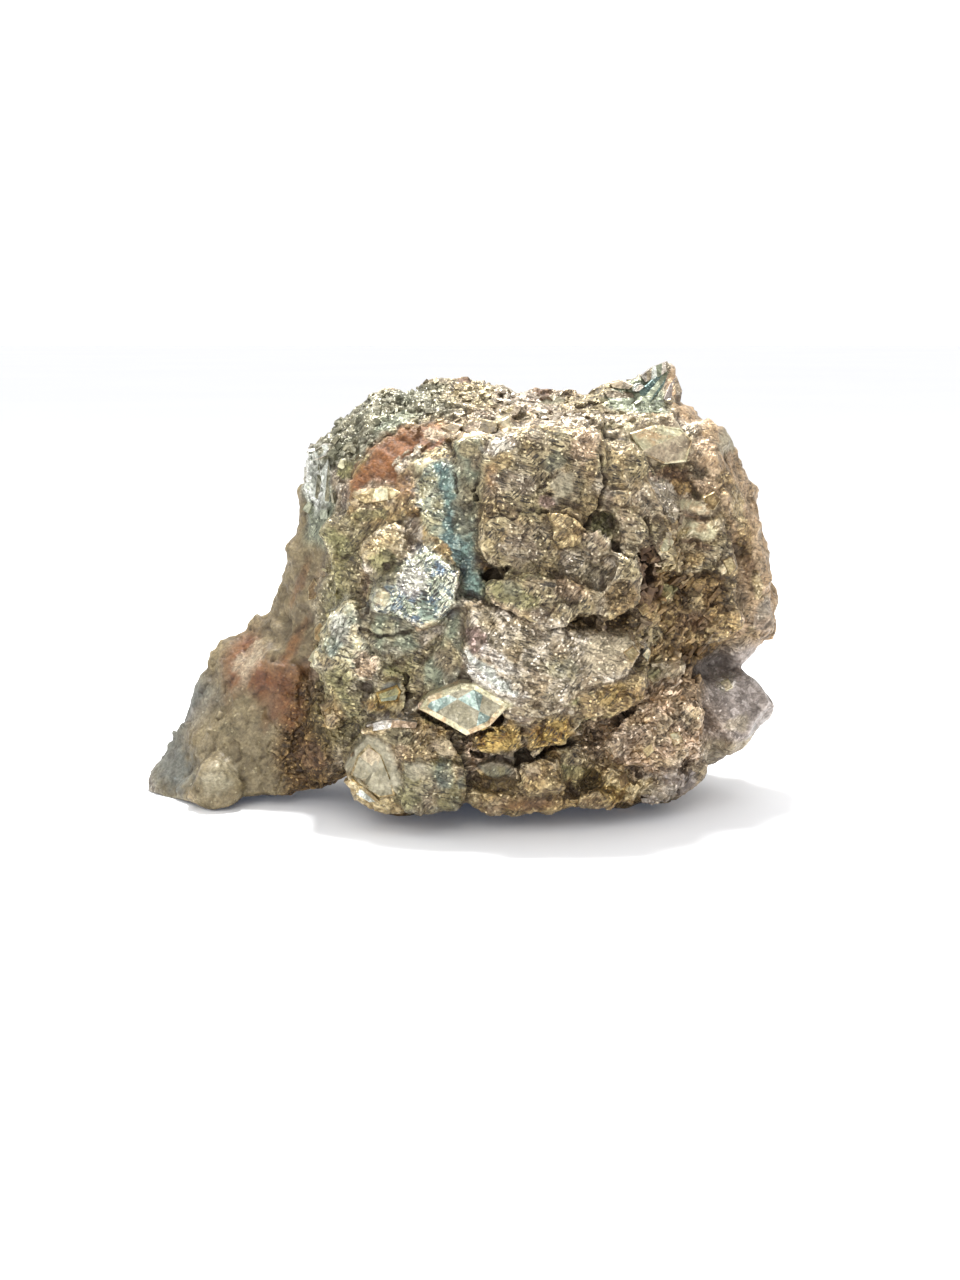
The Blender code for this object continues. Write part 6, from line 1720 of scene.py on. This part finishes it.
@dataclass(frozen=True)
class Studio:
    """A white table, a bright sky behind it, and a soft key light up on the left."""

    floor_size: float = 6.0
    floor_colour: Colour = (0.86, 0.86, 0.86)
    # The floor glows faintly blue, a painted light that tints its shadows
    painted_floor_glow: float = 0.045
    painted_glow_colour: Colour = (0.45, 0.6, 1.0)
    front_sky: float = 0.16
    back_sky: float = 1.15
    top_sky: float = 0.85
    sky_turn: tuple[float, float] = (-0.75, 0.6)
    top_turn: tuple[float, float] = (0.55, 0.95)
    cloud_colour: Colour = (0.9, 0.9, 0.9)
    cloud_scale: float = 3.0
    floor_roughness: float = 0.7
    key_place: Point = (-0.01, 0.09, 0.4)
    key_size: float = 0.05
    key_power: float = 2.8
    fill_place: Point = (-0.1, -0.43, 0.2)
    fill_size: float = 0.4
    fill_power: float = 1.65

    def build(self, aim: Vector) -> None:
        """Lay the table and hang the lights, which look at a place."""
        self._floor()
        self._sky()
        for name, place, size, power in (
            ("key", self.key_place, self.key_size, self.key_power),
            ("fill", self.fill_place, self.fill_size, self.fill_power),
        ):
            lamp = bpy.data.lights.new(name, "AREA")
            lamp.size, lamp.energy = size, power
            light = bpy.data.objects.new(name, lamp)
            light.location = place
            light.rotation_euler = (Vector(place) - aim).to_track_quat("Z", "Y").to_euler()
            bpy.context.scene.collection.objects.link(light)

    def _floor(self) -> None:
        """A wide white sheet under the specimen, with a faint painted glow."""
        body = bmesh.new()
        bmesh.ops.create_grid(body, x_segments=1, y_segments=1, size=self.floor_size)
        mesh = bpy.data.meshes.new("floor")
        body.to_mesh(mesh)
        body.free()
        material = bpy.data.materials.new("white_paper")
        material.use_nodes = True
        graph = Graph(material.node_tree)
        shader = material.node_tree.nodes["Principled BSDF"]
        place = graph.node("ShaderNodeTexCoord", {}).outputs["Object"]
        clouds = graph.noise(place, self.cloud_scale, 2.0)
        cloudy = graph.mix(clouds, (*self.floor_colour, 1.0), (*self.cloud_colour, 1.0))
        graph.tree.links.new(cloudy, shader.inputs["Base Color"])
        shader.inputs["Roughness"].default_value = self.floor_roughness
        # A faint blue glow: painted light that tints the floor's shadows
        shader.inputs["Emission Color"].default_value = (*self.painted_glow_colour, 1.0)
        shader.inputs["Emission Strength"].default_value = self.painted_floor_glow
        mesh.materials.append(material)
        made_object("floor", mesh)

    def _sky(self) -> None:
        """A sky that is bright behind the specimen and dimmer behind the viewer."""
        world = bpy.data.worlds.new("studio")
        world.use_nodes = True
        bpy.context.scene.world = world
        graph = Graph(world.node_tree)
        ground = world.node_tree.nodes["Background"]
        ground.inputs["Color"].default_value = (1.0, 1.0, 1.0, 1.0)
        way = graph.node("ShaderNodeTexCoord", {}).outputs["Generated"]
        parts = graph.node("ShaderNodeSeparateXYZ", {0: way})
        along = parts.outputs["Y"]
        level = graph.ramp(along, *self.sky_turn, self.back_sky - self.front_sky)
        top = graph.ramp(parts.outputs["Z"], *self.top_turn, self.top_sky)
        level = graph.math("ADD", graph.math("ADD", level, top), self.front_sky)
        graph.tree.links.new(level, ground.inputs["Strength"])


@dataclass(frozen=True)
class Viewpoint:
    """The camera, near and a little above, as the photograph was taken."""

    aim: Point = (0.00248, -0.00007, 0.02215)
    distance: float = 0.249
    elevation: float = 10.0
    lens: float = 50.0
    nearest: float = 0.01

    def build(self) -> None:
        """Place the camera and make it the scene's."""
        camera = bpy.data.cameras.new("camera")
        camera.lens = self.lens
        camera.clip_start = self.nearest
        rise = math.radians(self.elevation)
        back = Vector((0.0, -math.cos(rise), math.sin(rise)))
        obj = bpy.data.objects.new("camera", camera)
        obj.location = Vector(self.aim) + back * self.distance
        obj.rotation_euler = back.to_track_quat("Z", "Y").to_euler()
        bpy.context.scene.collection.objects.link(obj)
        bpy.context.scene.camera = obj


# The flashes and glints among these crystals carry painted highlights in their pale tones
CRYSTALS = (
    Crystal(
        "diamond_crystal", (Tone.CREAM, Tone.PALE_BLUE, Tone.PALE_GREY, Tone.PALE_GREY, Tone.PALE_BLUE),
        ((-5.3, 18.0), (-4.2, 19.5), (0.0, 21.1), (1.9, 21.1), (6.3, 18.5), (3.8, 15.9), (0.8, 14.7),
        (-1.3, 15.9)), ((0.8, 18.6, -28.0), (2.6, 18.6, 78.0), (-2.5, 18.0, 30.0)), 0.7, 0.28, 0.3, 3.0
    ),
    Crystal(
        "peak_lens", (Tone.DARK_GREEN, Tone.DARK_GREY, Tone.GREY_GREEN), ((19.4, 57.1), (20.0, 57.5),
        (23.3, 57.1), (23.7, 56.0), (22.5, 55.2), (20.7, 55.5)), ((21.5, 56.4, 0.0),), 0.0, 0.2, 0.3
    ),
    Crystal(
        "peak_chip", (Tone.TAN, Tone.TAN, Tone.SILVER), ((20.4, 58.3), (22.1, 58.7), (23.5, 58.1),
        (22.8, 57.6), (20.8, 57.7)), ((22.0, 58.0, 80.0),)
    ),
    Crystal(
        "peak_glint", (Tone.WHITE, Tone.WHITE, Tone.BRIGHT_SILVER), ((23.2, 58.0), (24.4, 58.4),
        (25.1, 57.9), (24.3, 57.3), (23.3, 57.3)), ((24.2, 58.0, 40.0),), 0.0, 0.1, 0.5
    ),
    Crystal(
        "peak_blade", (Tone.STEEL_BLUE, Tone.STEEL_BLUE, Tone.GREY_GREEN, Tone.STEEL_BLUE), ((24.3, 57.3),
        (26.6, 59.2), (28.3, 60.0), (29.0, 59.5), (27.3, 57.5), (25.7, 55.9), (24.6, 55.7)),
        ((26.0, 57.6, 48.0), (26.8, 57.4, 52.0)), 0.0, 0.3, 0.3
    ),
    Crystal(
        "peak_silver", (Tone.BRIGHT_SILVER, Tone.BRIGHT_SILVER, Tone.SILVER, Tone.WHITE, Tone.GREY_GREEN),
        ((24.6, 59.3), (26.2, 60.5), (28.3, 61.3), (28.8, 60.4), (27.3, 59.3), (25.2, 58.5)),
        ((25.4, 59.4, 95.0), (26.1, 59.8, 85.0), (26.8, 59.8, 95.0), (27.5, 60.2, 85.0),
        (28.1, 60.6, 95.0)), 0.0, 0.25, 0.3, 1.5
    ),
    Crystal(
        "peak_shoulder", (Tone.SLATE, Tone.SLATE, Tone.GREY_PURPLE), ((28.5, 58.1), (29.6, 59.3),
        (30.3, 57.3), (30.0, 55.8), (28.5, 55.5), (27.6, 56.3)), ((29.0, 57.5, 75.0),), 0.0, 0.3, 0.2
    ),
    Crystal(
        "box_face", (Tone.YELLOW_BRASS, Tone.GREY_GREEN, Tone.OLIVE), ((-11.1, 18.9), (-8.3, 20.1),
        (-7.7, 19.3), (-8.2, 17.9), (-10.6, 17.4)), ((-9.4, 18.4, 18.0),), 0.3, 0.2, 0.3
    ),
    Crystal(
        "boulder_face", (Tone.PALE_BRASS, Tone.PALE_GREY, Tone.TAN, Tone.PALE_GREY), ((-14.5, 8.1),
        (-13.6, 10.6), (-12.1, 12.2), (-10.3, 11.2), (-9.0, 8.1), (-8.5, 5.9), (-10.6, 5.4),
        (-13.2, 6.7)), ((-11.5, 8.5, 62.0), (-11.0, 9.0, -35.0)), 0.3, 0.35, 0.15, 3.0
    ),
    Crystal(
        "boulder_glint", (Tone.PALE_BRASS, Tone.PALE_BRASS, Tone.YELLOW_BRASS, Tone.WHITE), ((-15.4, 7.1),
        (-14.2, 7.8), (-11.9, 6.4), (-10.6, 5.2), (-11.9, 4.8), (-14.2, 5.8)), ((-13.2, 6.4, 55.0),
        (-12.4, 6.0, -35.0)), 0.0, 0.2, 0.25
    ),
    Crystal(
        "boulder_shelf", (Tone.BRIGHT_SILVER, Tone.BRIGHT_SILVER, Tone.PINK_BRASS), ((-12.4, 14.8),
        (-9.8, 15.6), (-7.8, 15.7), (-5.6, 15.6), (-5.8, 14.9), (-8.5, 14.8), (-11.5, 14.2)),
        ((-9.0, 15.2, 75.0),), 0.0, 0.15, 0.3
    ),
    Crystal(
        "cream_facet_large", (Tone.BRASS_BROWN, Tone.GREY_PURPLE, Tone.TAN_STONE), ((0.2, 53.1),
        (2.2, 54.2), (4.8, 53.7), (4.6, 52.4), (2.2, 52.0), (0.4, 52.3)), ((2.4, 53.0, 65.0),), 0.2, 0.2,
        0.3
    ),
    Crystal(
        "cream_facet_small", (Tone.GREY_PURPLE, Tone.BRASS_BROWN, Tone.GREY_PURPLE), ((5.5, 54.9),
        (7.2, 56.0), (8.3, 55.5), (7.5, 54.4), (6.2, 54.1)), ((6.8, 55.0, 60.0),), 0.15, 0.15, 0.3
    ),
    Crystal(
        "tan_facet_face", (Tone.CREAM, Tone.CREAM, Tone.TAN), ((22.3, 52.1), (25.9, 53.1), (29.3, 52.6),
        (30.9, 51.0), (29.9, 48.3), (26.9, 48.1), (24.0, 49.4)), ((26.5, 50.8, 20.0), (28.6, 50.4, 75.0)),
        0.25, 0.3, 0.6, 3.5
    ),
    Crystal(
        "rim_flash_left", (Tone.WHITE, Tone.WHITE, Tone.CROWN), ((-20.5, 45.6), (-19.6, 47.8),
        (-19.1, 45.3), (-19.4, 42.6), (-20.2, 42.9)), ((-19.9, 45.0, 85.0),)
    ),
    Crystal(
        "rim_flash_mid", (Tone.WHITE, Tone.WHITE, Tone.CROWN), ((-19.1, 46.7), (-18.2, 48.3),
        (-17.6, 46.0), (-17.9, 42.6), (-18.7, 42.6)), ((-18.4, 45.0, 85.0),)
    ),
    Crystal(
        "rim_flash_top", (Tone.BRIGHT_SILVER, Tone.WHITE), ((-20.4, 49.1), (-19.0, 50.2), (-17.7, 50.3),
        (-18.5, 48.7), (-19.9, 48.0))
    ),
    Crystal(
        "scaly_glint", (Tone.PALE_BRASS, Tone.PALE_BRASS, Tone.CREAM), ((-14.3, 43.9), (-11.9, 45.0),
        (-9.0, 45.1), (-7.7, 44.6), (-9.3, 43.7), (-12.6, 43.1)), ((-11.5, 44.2, 75.0),
        (-9.6, 44.4, 95.0))
    ),
    Crystal(
        "crevice_glint", (Tone.WHITE, Tone.CREAM), ((23.9, 23.2), (24.7, 24.3), (25.2, 23.6),
        (24.7, 22.3))
    ),
    Crystal(
        "nose_glint", (Tone.CREAM, Tone.TAN), ((35.5, 17.9), (36.6, 18.3), (37.1, 17.4), (36.1, 16.9)),
        proud=0.1
    ),
    Crystal("wedge_glint", (Tone.CREAM, Tone.TAN), ((-2.7, 52.8), (-1.1, 53.4), (0.2, 53.1), (-0.7, 51.9))),
    Crystal(
        "top_glint", (Tone.SILVER, Tone.PALE_GREY), ((10.4, 55.8), (12.5, 56.8), (14.3, 56.2),
        (13.7, 54.9), (11.4, 54.7)), ((12.5, 55.7, 60.0),)
    ),
    Crystal(
        "left_chip_high", (Tone.PALE_BRASS, Tone.OLD_GOLD), ((-21.1, 30.7), (-20.3, 32.0), (-19.5, 31.1),
        (-20.0, 29.4), (-21.0, 29.1))
    ),
    Crystal(
        "left_chip_low", (Tone.PALE_BRASS, Tone.OLD_GOLD), ((-20.2, 25.2), (-19.3, 26.3), (-18.6, 25.2),
        (-19.2, 23.6), (-20.1, 23.9))
    ),
    Crystal(
        "rib_chip_a", (Tone.PALE_BRASS, Tone.CREAM), ((25.6, 38.3), (26.8, 39.2), (27.8, 38.5),
        (27.3, 37.2), (26.0, 37.1))
    ),
    Crystal(
        "rib_chip_b", (Tone.PALE_BRASS, Tone.OLD_GOLD), ((32.3, 43.6), (33.8, 44.3), (34.6, 43.1),
        (33.7, 41.8), (32.5, 42.3))
    ),
    Crystal(
        "rib_chip_c", (Tone.OLD_GOLD, Tone.PALE_BRASS), ((34.9, 35.2), (36.1, 35.7), (36.7, 34.4),
        (35.7, 33.3))
    ),
    Crystal(
        "tail_chip", (Tone.OLD_GOLD, Tone.PALE_BRASS), ((20.8, 25.0), (22.1, 25.8), (22.9, 24.8),
        (21.9, 23.7))
    ),
    Crystal(
        "low_chip_a", (Tone.CREAM, Tone.PALE_BRASS), ((23.7, 11.5), (25.0, 12.1), (25.5, 11.1),
        (24.5, 10.2))
    ),
    Crystal(
        "low_chip_b", (Tone.PALE_BRASS, Tone.OLD_GOLD), ((20.6, 7.6), (21.9, 8.0), (22.1, 6.7),
        (21.0, 5.9))
    ),
    Crystal(
        "low_chip_c", (Tone.PALE_BRASS, Tone.CREAM), ((27.4, 13.3), (28.8, 13.5), (29.3, 12.2),
        (28.0, 11.6))
    ),
    Crystal(
        "ear_chip", (Tone.PALE_BRASS, Tone.OLD_GOLD), ((23.0, 29.9), (24.0, 30.6), (24.6, 29.4),
        (23.7, 28.9))
    ),
)  # fmt: skip
CRYSTAL_SHAPES = 12
CRYSTAL_SEED = 5
GRAIN_BEDS = (
    GrainBed("crown_grains", 2, (-8.0, 0.0, 55.0), (18.0, 10.0, 9.0), 130, (0.4, 1.2), bright=0.25),
    GrainBed(
        "left_rim_grains", 3, (-20.0, -3.0, 46.0), (5.0, 8.0, 6.0), 30, (0.6, 1.6), bright=0.5, run=80.0,
        spread=20.0
    ),
    GrainBed("top_right_grains", 4, (18.0, -2.0, 56.0), (12.0, 9.0, 5.0), 90, (0.4, 1.2), bright=0.3),
    GrainBed(
        "crevice_shards", 5, (28.0, -13.0, 29.0), (6.5, 7.0, 13.0), 190, (0.9, 2.2), (0.2, 0.4),
        (0.25, 0.45), 42.0, 16.0, 45.0, bright=0.2
    ),
    GrainBed(
        "low_grains", 6, (25.0, -14.0, 11.0), (9.0, 8.0, 8.0), 200, (0.4, 1.2), bright=0.35, lean=40.0
    ),
    GrainBed("left_grains", 7, (-18.0, -10.0, 22.0), (3.0, 7.0, 14.0), 70, (0.4, 1.3), bright=0.3),
)


def main() -> None:
    """Build the specimen piece by piece, then the studio round it."""
    logging.basicConfig(level=logging.INFO, format="%(name)s %(message)s")
    bpy.context.scene.view_settings.view_transform = "Standard"
    noise.seed_set(NOISE_SEED)
    stone = StoneMaterial().build()
    skin = StoneSkin().build(stone).data
    faces = [face.vertices for face in skin.polygons]
    surface = BVHTree.FromPolygons([vert.co for vert in skin.vertices], faces)
    for crystal in CRYSTALS:
        crystal.build(surface, stone)
    shapes = broken_crystals(CRYSTAL_SHAPES, CRYSTAL_SEED)
    for bed in GRAIN_BEDS:
        bed.build(skin, shapes, stone)
    for shape in shapes:
        bpy.data.meshes.remove(shape)
    viewpoint = Viewpoint()
    Studio().build(Vector(viewpoint.aim))
    viewpoint.build()


if __name__ == "__main__":
    main()
